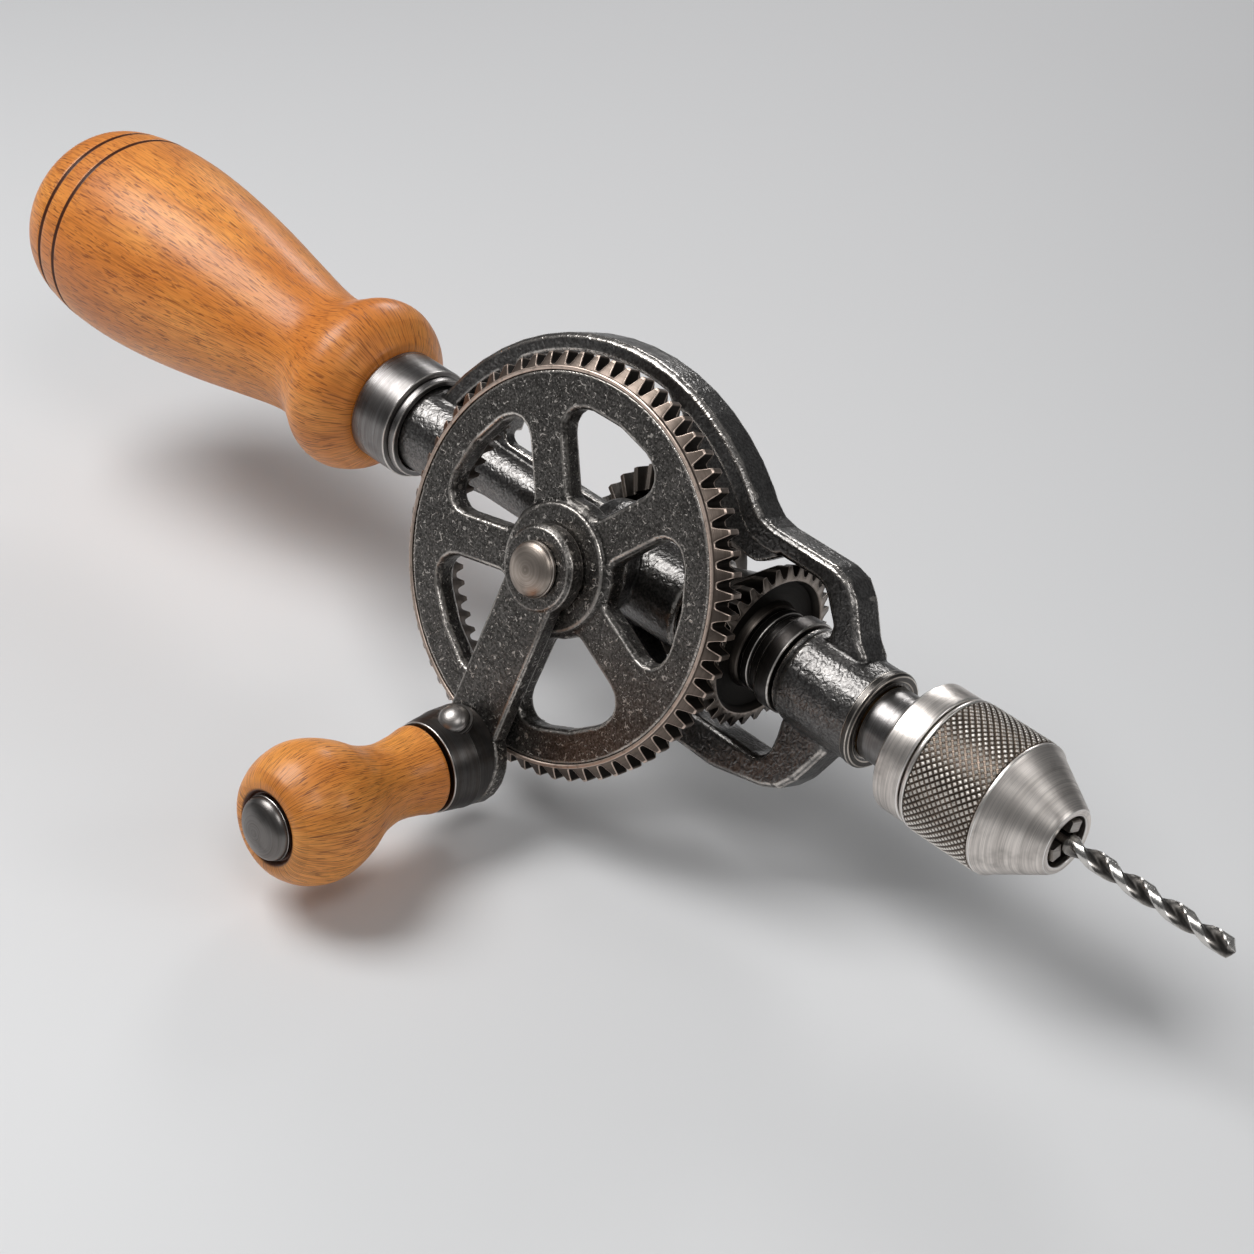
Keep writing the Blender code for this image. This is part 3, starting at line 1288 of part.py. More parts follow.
sleeve_profile = [
    (SLEEVE_START, SLEEVE_BORE),
    (SLEEVE_START, SLEEVE_RADIUS - BARREL_LIP),
    (SLEEVE_START + BARREL_LIP, SLEEVE_RADIUS),
    (CONE_START - BARREL_LIP, SLEEVE_RADIUS),
    (CONE_START, SLEEVE_RADIUS - BARREL_LIP),
    (CHUCK_END - BARREL_LIP, NOSE_RADIUS),
    (CHUCK_END, NOSE_RADIUS - BARREL_LIP),
    (CHUCK_END, MOUTH_RADIUS),
    (CHUCK_END - MOUTH_LIP, MOUTH_RADIUS),
    (GUIDE_CONE, SLEEVE_BORE),
]
turned("chuck_sleeve", sleeve_profile, BRUSHED_STEEL, SLEEVE_GROUP, facets=KNURL_FACETS, closed=True)

nut_ring_profile = [
    (NUT_RING_START, NUT_RING_BORE),
    (NUT_RING_START, GUIDE_RADIUS),
    (NUT_RING_END, GUIDE_RADIUS),
    (NUT_RING_END, NUT_RING_BORE),
]
turned("chuck_nut", nut_ring_profile, BLUED_STEEL, SLEEVE_GROUP, closed=True)

# Each jaw is a slanted bar, drawn in the plane through the bit's axis
jaw_inner_start = JAW_TIP - JAW_GRIP_LENGTH
JAW_GRIP_RADIUS = BIT_RADIUS + FIT_GAP
jaw_outline = [
    (JAW_TIP, JAW_GRIP_RADIUS),
    (JAW_TIP, JAW_FACE),
    (JAW_TAIL, jaw_outer(JAW_TAIL)),
    (JAW_TAIL, jaw_outer(JAW_TAIL) - JAW_DEPTH),
    (jaw_inner_start, JAW_GRIP_RADIUS),
]
travel_x = JAW_TRAVEL * math.cos(JAW_ANGLE)
slot_back = JAW_TAIL - travel_x - FIT_GAP
slot_outline = [
    (CHUCK_END + OVERRUN, 0),
    (CHUCK_END + OVERRUN, SLEEVE_RADIUS),
    (slot_back, SLEEVE_RADIUS),
    (slot_back, jaw_outer(slot_back) - JAW_DEPTH - FIT_GAP),
    (jaw_inner_start - travel_x, 0),
]
for number in range(3):
    spin = Matrix.Rotation(FULL_TURN * number / 3, 4, "X")
    group = empty("jaw_place_%d" % (number + 1), spin, SPINDLE_GROUP)
    plate(
        "chuck_jaw_%d" % (number + 1),
        jaw_outline,
        [],
        -JAW_WIDTH / 2,
        JAW_WIDTH / 2,
        BRIGHT_STEEL,
        group,
    )
    slot = plate(
        "jaw_slot_%d" % (number + 1),
        slot_outline,
        [],
        -JAW_WIDTH / 2 - FIT_GAP,
        JAW_WIDTH / 2 + FIT_GAP,
        BRIGHT_STEEL,
        group,
    )
    cut(body, slot)


# Drill bit: a plain shank and two spiral flutes up to a conical point

FLUTE_RADIUS_SHARES = (1, 1, 0.97, 0.72, 0.46, 0.6)
POINT_SHARE = 0.12
TWIST_STEPS = 32


def bit_section(x, turn, fluted, scale):
    spots = []
    for i in range(BIT_SIDES):
        angle = turn + FULL_TURN * i / BIT_SIDES
        radius = BIT_RADIUS * scale
        if fluted:
            radius *= FLUTE_RADIUS_SHARES[i % len(FLUTE_RADIUS_SHARES)]
        spots.append(Vector((x, radius * math.cos(angle), radius * math.sin(angle))))
    return spots


bit_rings = [bit_section(BIT_START, 0, False, 1), bit_section(FLUTE_START - FIT_GAP, 0, False, 1)]
twist_end = BIT_END - POINT_LENGTH
for i in range(TWIST_STEPS + 1):
    x = FLUTE_START + (twist_end - FLUTE_START) * i / TWIST_STEPS
    bit_rings.append(bit_section(x, FULL_TURN * (x - FLUTE_START) / BIT_LEAD, True, 1))
end_turn = FULL_TURN * (twist_end - FLUTE_START) / BIT_LEAD
bit_rings.append(bit_section(BIT_END, end_turn, True, POINT_SHARE))
loft("drill_bit", bit_rings, BRIGHT_STEEL, SPINDLE_GROUP)
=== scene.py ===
import math

import bmesh
import bpy
from mathutils import Matrix, Vector


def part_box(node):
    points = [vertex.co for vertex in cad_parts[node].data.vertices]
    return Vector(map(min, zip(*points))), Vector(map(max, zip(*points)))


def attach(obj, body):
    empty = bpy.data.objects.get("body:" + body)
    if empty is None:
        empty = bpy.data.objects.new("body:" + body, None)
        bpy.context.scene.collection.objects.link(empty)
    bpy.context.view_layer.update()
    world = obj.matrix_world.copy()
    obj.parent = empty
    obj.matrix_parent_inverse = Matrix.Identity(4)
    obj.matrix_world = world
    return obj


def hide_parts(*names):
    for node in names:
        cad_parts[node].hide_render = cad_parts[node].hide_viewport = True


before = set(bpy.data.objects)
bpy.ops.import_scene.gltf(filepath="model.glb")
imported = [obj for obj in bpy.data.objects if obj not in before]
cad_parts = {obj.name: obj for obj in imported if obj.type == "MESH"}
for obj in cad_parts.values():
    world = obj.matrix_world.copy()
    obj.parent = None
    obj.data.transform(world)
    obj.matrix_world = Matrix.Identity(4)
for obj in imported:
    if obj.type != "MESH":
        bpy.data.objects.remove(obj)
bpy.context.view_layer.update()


# THE TABLE, THE LAMPS AND THE CAMERA
# The drill hangs a little above a seamless pale grey sheet. A wide soft lamp hangs
# up on the left, with weaker ones in front, on the right and behind.

MM = 0.001
axle_low, axle_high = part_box("axle_pin")
spindle_low, spindle_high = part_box("spindle")
axle_middle = (axle_low + axle_high) / 2
spindle_middle = (spindle_low + spindle_high) / 2
middle = Vector((axle_middle.x, spindle_middle.y, spindle_middle.z))

# The camera's own directions, and its place in millimetres from the drill's middle
rightward = Vector((0.6956, 0.6441, 0.3183))
upward = Vector((-0.466, 0.0673, 0.8822))
nearer = Vector((0.5469, -0.762, 0.3469))
EYE = Vector((352.0, -485.8, 208.1))
LENS = 91.64
SENSOR = 36
NEAREST_SEEN = 10


def stand(name, data):
    """Adds an object to the scene."""
    made = bpy.data.objects.new(name, data)
    bpy.context.scene.collection.objects.link(made)
    return made


camera_data = bpy.data.cameras.new("camera")
camera_data.lens = LENS
camera_data.sensor_width = SENSOR
camera_data.clip_start = NEAREST_SEEN * MM
camera = stand("camera", camera_data)
camera_turn = Matrix((rightward, upward, nearer)).transposed().to_4x4()
camera.matrix_world = Matrix.Translation(middle + EYE * MM) @ camera_turn
bpy.context.scene.camera = camera
bpy.context.scene.view_settings.view_transform = "Standard"


def lamp(name, right, up, near, width, power):
    """A square soft lamp, placed in millimetres as the camera sees it, aimed at the drill."""
    light = bpy.data.lights.new(name, "AREA")
    light.energy = power
    light.size = width * MM
    reach = (rightward * right + upward * up + nearer * near) * MM
    aim = reach.to_track_quat("Z", "Y").to_matrix().to_4x4()
    stand(name, light).matrix_world = Matrix.Translation(middle + reach) @ aim


lamp("key_lamp", right=-440, up=690, near=330, width=480, power=6.6)
lamp("front_lamp", right=130, up=300, near=840, width=300, power=1.5)
lamp("right_lamp", right=640, up=160, near=420, width=240, power=0.6)
lamp("back_lamp", right=160, up=640, near=-330, width=200, power=1.1)

ROOM_COLOUR = (0.96, 0.98, 1, 1)
ROOM_LIGHT = 0.13
world = bpy.data.worlds.new("studio")
bpy.context.scene.world = world
world.use_nodes = True
backdrop = world.node_tree.nodes["Background"].inputs
backdrop["Color"].default_value = ROOM_COLOUR
backdrop["Strength"].default_value = ROOM_LIGHT


def put(tree, kind, sockets=None, **settings):
    """Adds a shader node. Each socket takes a value or the output that feeds it."""
    made = tree.nodes.new("ShaderNode" + kind)
    for name, value in settings.items():
        setattr(made, name, value)
    for name, value in (sockets or {}).items():
        if isinstance(value, bpy.types.NodeSocket):
            tree.links.new(value, made.inputs[name])
        else:
            made.inputs[name].default_value = value
    return made


def sums(tree, kind, *values):
    """One step of arithmetic on numbers."""
    return put(tree, "Math", dict(enumerate(values)), operation=kind).outputs[0]


def fade(tree, value, low, high, start=0.0, end=1.0):
    """Runs smoothly from start to end as the value goes from low to high."""
    ends = {"Value": value, "From Min": low, "From Max": high, "To Min": start, "To Max": end}
    return put(tree, "MapRange", ends, interpolation_type="SMOOTHSTEP").outputs[0]


def mixed(tree, share, low, high):
    """Mixes two colours."""
    return put(tree, "Mix", {0: share, 6: low, 7: high}, data_type="RGBA").outputs[2]


def noise(tree, place, scale, detail=2.0, rough=0.5, bend=0.0):
    """Cloudy pattern from 0 to 1, with features about 1/scale metres across."""
    ends = {"Vector": place, "Scale": scale, "Detail": detail, "Roughness": rough}
    return put(tree, "TexNoise", {**ends, "Distortion": bend}).outputs[0]


def loose(name, shape):
    """Makes a finished bmesh an object of the scene."""
    mesh = bpy.data.meshes.new(name)
    shape.to_mesh(mesh)
    shape.free()
    return stand(name, mesh)


TABLE_UP = Vector((-0.078, -0.32, 0.94)).normalized()
TABLE_DROP = 47.0
TABLE_SIZE = 6000
table_shape = bmesh.new()
bmesh.ops.create_grid(table_shape, x_segments=1, y_segments=1, size=TABLE_SIZE / 2 * MM)
table_turn = TABLE_UP.to_track_quat("Z", "Y").to_matrix().to_4x4()
table_shape.transform(Matrix.Translation(middle - TABLE_UP * TABLE_DROP * MM) @ table_turn)
table = loose("table", table_shape)

# Painted light: the sheet's colour is paler in front and darker across it, a painted fall-off of
# the lamps' light. Places are in metres from the middle.
TABLE_PAINTED_LIT = (0.75, 0.752, 0.757, 1)
TABLE_PAINTED_DIM = (0.54, 0.54, 0.547, 1)
TABLE_ROUGHNESS = 0.65
TABLE_GLOSS = 0.2
PAINTED_LIGHT_SHARES = (-0.1, 0.95)
PAINTED_LIGHT_START = -0.3
PAINTED_LIGHT_END = 0.5
CLOUD_SCALE = 3.0
CLOUD_SHARE = 0.1
table_look = bpy.data.materials.new("grey_table")
table_look.use_nodes = True
tree = table_look.node_tree
surface = tree.nodes["Principled BSDF"]
surface.inputs["Roughness"].default_value = TABLE_ROUGHNESS
surface.inputs["Specular IOR Level"].default_value = TABLE_GLOSS
here = put(tree, "TexCoord").outputs["Object"]
spot = put(tree, "Mapping", {"Vector": here, "Location": -middle}).outputs[0]
parts = put(tree, "SeparateXYZ", {0: spot})
deep_share = sums(tree, "MULTIPLY", parts.outputs[1], PAINTED_LIGHT_SHARES[1])
across = sums(tree, "MULTIPLY_ADD", parts.outputs[0], PAINTED_LIGHT_SHARES[0], deep_share)
cloud = noise(tree, spot, CLOUD_SCALE, detail=1.0)
# Painted light fall-off, mixed with a faint random cloud of tone.
painted_fall_off = fade(tree, across, PAINTED_LIGHT_START, PAINTED_LIGHT_END)
shade = sums(tree, "MULTIPLY_ADD", cloud, CLOUD_SHARE, painted_fall_off)
colour = mixed(tree, shade, TABLE_PAINTED_LIT, TABLE_PAINTED_DIM)
tree.links.new(colour, surface.inputs["Base Color"])
below = put(tree, "NewGeometry").outputs["Backfacing"]
see_through = put(tree, "BsdfTransparent").outputs[0]
one_sided = put(tree, "MixShader", {0: below, 1: surface.outputs[0], 2: see_through})
tree.links.new(one_sided.outputs[0], tree.nodes["Material Output"].inputs["Surface"])
table.data.materials.append(table_look)


# FRAME CASTING
# One grey iron casting with a fine sand cast skin, blackened and then worn bright
# along its edges. Its fillets are rounder than the solid's, as a mould leaves them.

WELD = 0.001


def combine(piece, operation, other):
    """Cuts or bounds a piece by another one."""
    step = piece.modifiers.new(operation, "BOOLEAN")
    step.operation = operation
    step.solver = "EXACT"
    step.object = other
    return step


def taken(piece, other=None):
    """The mesh that a piece's modifiers leave. The piece and what cut it are cleared away."""
    whole = bpy.context.evaluated_depsgraph_get()
    mesh = bpy.data.meshes.new_from_object(piece.evaluated_get(whole))
    bpy.data.objects.remove(piece)
    if other:
        bpy.data.objects.remove(other)
    mesh.materials.clear()
    return mesh


def baked(name, node, grain, smoothing, kept=1.0, inside=None):
    """A closed skin over a copy of a CAD node, its edges rounded as a mould leaves them. Grain is
    its fineness in millimetres, kept the share of its faces that stay, inside what bounds it."""
    shape = bmesh.new()
    shape.from_mesh(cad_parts[node].data)
    bmesh.ops.remove_doubles(shape, verts=shape.verts, dist=WELD * MM)
    bmesh.ops.recalc_face_normals(shape, faces=shape.faces)
    piece = loose(name, shape)
    if inside:
        combine(piece, "INTERSECT", inside)
    skin = piece.modifiers.new("skin", "REMESH")
    skin.mode = "VOXEL"
    skin.voxel_size = grain * MM
    round_off = piece.modifiers.new("round_off", "SMOOTH")
    round_off.iterations = smoothing
    if kept < 1:
        piece.modifiers.new("thinned", "DECIMATE").ratio = kept
    mesh = taken(piece, inside)
    mesh.shade_smooth()
    return mesh


def show(name, mesh, look, body, slot, *nodes):
    """Adds a finished piece that rides on a body and stands for CAD nodes."""
    mesh.name = name
    mesh.materials.append(look)
    made = stand(name, mesh)
    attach(made, body)
    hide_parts(*nodes)


def group(name, inputs):
    """A node group for a skin, with the outputs of its input node and inputs of its output node."""
    made = bpy.data.node_groups.new(name, "ShaderNodeTree")
    outputs = (("Color", "Color"), ("Roughness", "Float"), ("Height", "Float"))
    for way, sockets in (("INPUT", inputs), ("OUTPUT", outputs)):
        for label, kind in sockets:
            made.interface.new_socket(label, in_out=way, socket_type="NodeSocket" + kind)
    given = made.nodes.new("NodeGroupInput").outputs
    return made, given, made.nodes.new("NodeGroupOutput").inputs


def feed(tree, sockets, values):
    """Joins outputs to the sockets of those names."""
    for label, value in values.items():
        tree.links.new(value, sockets[label])


CAST_SOCKETS = (
    ("Place", "Vector"),
    ("Dark", "Color"),
    ("Pale", "Color"),
    ("Worn", "Color"),
    ("Edge", "Float"),
    ("Hammer", "Float"),
    ("Grit", "Float"),
    ("Ridges and glints", "Float"),
    ("Shine", "Float"),
)
# How many of each mark lie along a metre of the skin
PEBBLES = 2000
LUMPS = 260
DENTS = 760
STROKES = 850
STROKE_GAPS = 700
GLINT_SPECKS = 3300
SCUFFS = 900
WORN_AREAS = 75
# How strongly each shows
LUMP_SHARE = 0.3
HOLLOW_SHADE_SHARE = 0.6
UNEVEN_SHARE = 0.6
POLISH = 0.08
STROKE_HEIGHT = 0.12
LUMP_COLOUR = (0.01, 0.009, 0.008, 1)
HOLLOW_SHADE_COLOUR = (0.004, 0.0035, 0.003, 1)
cast_skin, given, wanted = group("cast skin", CAST_SOCKETS)
tree = cast_skin
place = given["Place"]
pebbles = noise(tree, place, PEBBLES)
lumps = noise(tree, place, LUMPS)
dents = noise(tree, place, DENTS, detail=1.5, rough=0.4, bend=1.2)
path = noise(tree, place, STROKES, detail=1.5, rough=0.45)
from_path = sums(tree, "ABSOLUTE", sums(tree, "SUBTRACT", path, 0.5))
gaps = fade(tree, noise(tree, place, STROKE_GAPS, detail=1.0), 0.56, 0.64)
stroke = sums(tree, "MULTIPLY", fade(tree, from_path, 0.045, 0.012), gaps)
# Painted glints: thin raised strokes and specks are painted in the worn metal's colour, as light
# caught on them; the bump raises them too.
glint_specks = fade(tree, noise(tree, place, GLINT_SPECKS, detail=1.0), 0.68, 0.76)
ridges_and_glints = sums(tree, "MULTIPLY", sums(tree, "MAXIMUM", stroke, glint_specks), given["Ridges and glints"])
crest = put(tree, "NewGeometry").outputs["Pointiness"]
scuffs = fade(tree, noise(tree, place, SCUFFS, detail=3.0), 0.2, 0.5)
worn_areas = fade(tree, noise(tree, place, WORN_AREAS), 0.38, 0.62, start=0.3)
rubbed = sums(tree, "MULTIPLY", fade(tree, crest, 0.506, 0.522), scuffs)
rubbed = sums(tree, "MULTIPLY", rubbed, worn_areas)
rubbed = sums(tree, "MULTIPLY", rubbed, given["Edge"])
# Painted shade: hollows, where the pointiness is low, are darkened towards near black.
hollow_shade = sums(tree, "MULTIPLY", fade(tree, crest, 0.496, 0.475), HOLLOW_SHADE_SHARE)
tone = mixed(tree, fade(tree, pebbles, 0.34, 0.68), given["Dark"], given["Pale"])
tone = mixed(tree, fade(tree, lumps, 0.35, 0.8, end=LUMP_SHARE), tone, LUMP_COLOUR)
tone = mixed(tree, ridges_and_glints, tone, given["Worn"])
tone = mixed(tree, rubbed, tone, given["Worn"])
tone = mixed(tree, hollow_shade, tone, HOLLOW_SHADE_COLOUR)
uneven = sums(tree, "MULTIPLY", sums(tree, "SUBTRACT", pebbles, 0.5), given["Grit"])
rough = sums(tree, "MULTIPLY_ADD", uneven, UNEVEN_SHARE, given["Shine"])
rough = sums(tree, "SUBTRACT", rough, sums(tree, "MULTIPLY", rubbed, POLISH))
stroke_height = sums(tree, "MULTIPLY", ridges_and_glints, STROKE_HEIGHT)
height = sums(tree, "MULTIPLY_ADD", pebbles, given["Grit"], stroke_height)
height = sums(tree, "MULTIPLY_ADD", dents, given["Hammer"], height)
feed(tree, wanted, {"Color": tone, "Roughness": rough, "Height": height})


def whole_place(tree):
    """Places on the whole drill, measured from where the axle crosses the spindle."""
    here = put(tree, "TexCoord").outputs["Object"]
    return put(tree, "Mapping", {"Vector": here, "Location": -middle}).outputs[0]


def own_place(tree):
    """Places on a turned piece, measured along and round its own axis."""
    return put(tree, "Attribute", attribute_name="own").outputs["Vector"]


GLOSS = 0.4
COAT_ROUGHNESS = 0.2


def finish(name, skin, where, choices, bump, metallic=1.0, coat=0.0):
    """A material fed by a group, with its bump height in millimetres."""
    made = bpy.data.materials.new(name)
    made.use_nodes = True
    tree = made.node_tree
    surface = tree.nodes["Principled BSDF"].inputs
    surface["Metallic"].default_value = metallic
    surface["Coat Weight"].default_value = coat
    surface["Coat Roughness"].default_value = COAT_ROUGHNESS
    surface["Specular IOR Level"].default_value = GLOSS
    fed = put(tree, "Group", node_tree=skin)
    for label, value in choices.items():
        fed.inputs[label].default_value = value
    tree.links.new(where(tree), fed.inputs["Place"])
    if "Wear and shade" in fed.inputs:
        wear_and_shade = put(tree, "Attribute", attribute_name="wear_and_shade").outputs["Fac"]
        tree.links.new(wear_and_shade, fed.inputs["Wear and shade"])
    given = fed.outputs
    ripple = put(tree, "Bump", {"Height": given["Height"], "Distance": bump * MM}).outputs[0]
    skin_ends = {"Base Color": given["Color"], "Roughness": given["Roughness"], "Normal": ripple}
    feed(tree, surface, skin_ends)
    return made


IRON_CHOICES = {
    "Dark": (0.08, 0.075, 0.07, 1),
    "Pale": (0.18, 0.169, 0.158, 1),
    "Worn": (0.72, 0.67, 0.62, 1),
    "Edge": 0.9,
    "Hammer": 0.35,
    "Grit": 0.2,
    "Ridges and glints": 0.85,
    "Shine": 0.34,
}
cast_iron = finish("cast_iron", cast_skin, whole_place, IRON_CHOICES, bump=0.3, metallic=0.95)
GLOSSY_CHOICES = {
    "Dark": (0.105, 0.1, 0.097, 1),
    "Pale": (0.2, 0.193, 0.187, 1),
    "Worn": (0.72, 0.67, 0.62, 1),
    "Edge": 0.85,
    "Hammer": 0.5,
    "Grit": 0.05,
    "Ridges and glints": 0.12,
    "Shine": 0.3,
}
glossy_iron = finish(
    "glossy_iron", cast_skin, whole_place, GLOSSY_CHOICES, bump=0.32, metallic=0.97
)
frame_casting = baked("frame_casting", "frame", grain=0.33, smoothing=6, kept=0.57)
show("frame_casting", frame_casting, glossy_iron, "frame_body", "cast_iron", "frame")


# MAIN HANDLE
# Turned from one piece of beech with its grain along it, two rings burnt in with
# a wire near the domed end, then lacquered. It is driven on to a steel tang.


def seat(start, along, side, base=None):
    """A place whose Z runs along and whose X leans to side, in millimetres from the middle."""
    along = Vector(along).normalized()
    side = (Vector(side) - along * along.dot(Vector(side))).normalized()
    turn = Matrix((side, along.cross(side), along)).transposed().to_4x4()
    return (base or Matrix.Translation(middle)) @ Matrix.Translation(Vector(start) * MM) @ turn


CURVE_STEPS = 6


def between(p, q, r, s, t):
    """A share t of the way from q to r, on a curve that also heeds their neighbours."""
    bow = (2 * p - 5 * q + 4 * r - s) * t**2
    return 0.5 * (2 * q + (r - p) * t + bow + (3 * q - p - 3 * r + s) * t**3)


def flowing(points):
    """A smooth line through all the points."""
    padded = [points[0], *points, points[-1]]
    line = []
    for four in zip(padded, padded[1:], padded[2:], padded[3:]):
        for i in range(CURVE_STEPS):
            line.append(tuple(between(*row, i / CURVE_STEPS) for row in zip(*four)))
    return [*line, points[-1]]


SLIGHT_TURN = math.radians(14)
SHARP_TURN = math.radians(40)
SIDE_SHARE = 0.45


def eased(points, bevel, closed=False):
    """Rounds the corners of (radius, along) points. Each comes back with its wear and shade, 1 for
    wear on an outer corner, -1 for painted shade in an inner one and 0 between."""
    count = len(points)
    area = sum(
        points[i - 1][0] * points[i][1] - points[i][0] * points[i - 1][1] for i in range(count)
    )
    line = []
    for i, here in enumerate(points):
        if not closed and i in (0, count - 1):
            line.append((*here, 0.0))
            continue
        here = Vector(here)
        back = Vector(points[i - 1]) - here
        on = Vector(points[(i + 1) % count]) - here
        turn = math.pi - back.angle(on)
        if turn < SLIGHT_TURN:
            line.append((*here, 0.0))
            continue
        most = SIDE_SHARE * min(back.length, on.length)
        reach = min(bevel * math.tan(turn / 2), most)
        start, end = here + back.normalized() * reach, here + on.normalized() * reach
        outer = (back.x * on.y - back.y * on.x) * area < 0
        for t in (0, 0.25, 0.5, 0.75, 1):
            bend = start * (1 - t) ** 2 + here * 2 * t * (1 - t) + end * t**2
            strength = math.sin(math.pi * t) * min(1, turn / SHARP_TURN)
            line.append((*bend, strength if outer else -strength))
    return line


def lathe(line, steps=128, closed=False):
    """Spins a (radius, along, wear and shade) line, in millimetres, round Z."""
    made = bmesh.new()
    wear_and_shade = made.verts.layers.float.new("wear_and_shade")
    ends = []
    for radius, along, worn_and_shaded in line:
        vert = made.verts.new((radius * MM, 0, along * MM))
        vert[wear_and_shade] = worn_and_shaded
        ends.append(vert)
    pairs = list(zip(ends, ends[1:])) + ([(ends[-1], ends[0])] if closed else [])
    sides = [made.edges.new(pair) for pair in pairs]
    bmesh.ops.spin(
        made,
        geom=ends + sides,
        cent=(0, 0, 0),
        axis=(0, 0, 1),
        angle=2 * math.pi,
        steps=steps,
        use_merge=True,
    )
    bmesh.ops.remove_doubles(made, verts=made.verts, dist=WELD * MM)
    return made


DOME_STEPS = 14


def domed(radius, along, rise):
    """Points from the rim of a round head to its middle."""
    turns = [math.pi / 2 * step / DOME_STEPS for step in range(DOME_STEPS)]
    rim = [(radius * math.cos(turn), along + rise * math.sin(turn)) for turn in turns]
    return [*rim, (0, along + rise)]


def settled(shape, place, sharp=40, cut=None):
    """Notes a shape's own places and moves it to its place on the drill. A cut is a point and the
    side of it that is taken off. Edges sharper than so many degrees stay crisp."""
    own = shape.verts.layers.float_vector.new("own")
    for vert in shape.verts:
        vert[own] = vert.co
    shape.transform(place)
    bmesh.ops.recalc_face_normals(shape, faces=shape.faces)
    if cut:
        whole = shape.verts[:] + shape.edges[:] + shape.faces[:]
        halved = bmesh.ops.bisect_plane(
            shape, geom=whole, plane_co=cut[0], plane_no=cut[1], clear_outer=True
        )
        rim = [item for item in halved["geom_cut"] if isinstance(item, bmesh.types.BMEdge)]
        bmesh.ops.edgeloop_fill(shape, edges=rim)
        bmesh.ops.recalc_face_normals(shape, faces=shape.faces)
    mesh = bpy.data.meshes.new("shape")
    shape.to_mesh(mesh)
    shape.free()
    mesh.shade_smooth()
    mesh.set_sharp_from_angle(angle=math.radians(sharp))
    return mesh


def turned(outline, place, bevel, steps=128, closed=False, cut=None):
    """A turned piece from its (radius, along) outline, with its corners rounded."""
    return settled(lathe(eased(outline, bevel, closed), steps, closed), place, cut=cut)


def drawn_out(tree, place, share):
    """Places whose pattern is drawn out along the grain, to 1/share of its length."""
    return put(tree, "Mapping", {"Vector": place, "Scale": (1, 1, share)}).outputs[0]


def from_axis(tree, x, y):
    """How far a point lies from an axis, by its two offsets."""
    squares = sums(tree, "ADD", sums(tree, "POWER", x, 2.0), sums(tree, "POWER", y, 2.0))
    return sums(tree, "POWER", squares, 0.5)


WOOD_SOCKETS = (
    ("Place", "Vector"),
    ("Wear and shade", "Float"),
    ("Pale", "Color"),
    ("Deep", "Color"),
    ("Fleck", "Color"),
)
# The growth rings run round a pith beside the piece. Lengths here are in metres.
PITH_ASIDE = (0.021, 0.008)
GROWTH_RINGS = 330.0
RING_BOW = 4.2
WRAP_RADIUS = 0.019
# How many of each mark lie along a metre, across the grain
BOWS = 38
BROAD_BANDS = 60
STREAKS = 1500
FIBRES = 4200
FLECKS = 3300
LONG_LINES = 1700
# How strongly each shows
STREAK_SHARE = 0.45
RING_SHARE = 0.5
FIBRE_SHARE = 0.42
FLECK_SHARE = 0.78
LONG_LINE_SHARE = 0.35
LACQUER_ROUGHNESS = 0.34
STREAK_ROUGHNESS = 0.16
STREAK_HEIGHT = 0.5
BURNT_AND_SHADE_COLOUR = (0.075, 0.02, 0.006, 1)
wood_skin, given, wanted = group("beech", WOOD_SOCKETS)
tree = wood_skin
place = given["Place"]
parts = put(tree, "SeparateXYZ", {0: place})
flat = put(tree, "VectorMath", {0: place, 1: (1, 1, 0)}, operation="MULTIPLY").outputs[0]
out = put(tree, "VectorMath", {0: flat}, operation="NORMALIZE").outputs[0]
out = put(tree, "VectorMath", {0: out, 3: WRAP_RADIUS}, operation="SCALE").outputs[0]
along_only = put(tree, "CombineXYZ", {2: parts.outputs[2]}).outputs[0]
wrapped = put(tree, "VectorMath", {0: out, 1: along_only}).outputs[0]
bow = noise(tree, drawn_out(tree, place, 0.3), BOWS)
from_pith = from_axis(
    tree,
    sums(tree, "ADD", parts.outputs[0], PITH_ASIDE[0]),
    sums(tree, "ADD", parts.outputs[1], PITH_ASIDE[1]),
)
rings = sums(tree, "MULTIPLY", from_pith, GROWTH_RINGS)
rings = sums(tree, "FRACT", sums(tree, "MULTIPLY_ADD", bow, RING_BOW, rings))
ring_edge = sums(tree, "MULTIPLY", fade(tree, rings, 0.55, 0.94), fade(tree, rings, 1.0, 0.95))
broad = noise(tree, drawn_out(tree, place, 0.4), BROAD_BANDS)
streaks = noise(tree, drawn_out(tree, wrapped, 0.09), STREAKS, detail=3.0, rough=0.6)
fibres = fade(tree, noise(tree, drawn_out(tree, wrapped, 0.05), FIBRES), 0.46, 0.64)
fleck = noise(tree, drawn_out(tree, wrapped, 0.1), FLECKS, detail=1.0, rough=0.4)
fleck = fade(tree, fleck, 0.605, 0.67)
long_line = noise(tree, drawn_out(tree, wrapped, 0.04), LONG_LINES, detail=1.0, rough=0.4)
long_line = fade(tree, long_line, 0.66, 0.7)
tone = mixed(tree, fade(tree, broad, 0.3, 0.7), given["Pale"], given["Deep"])
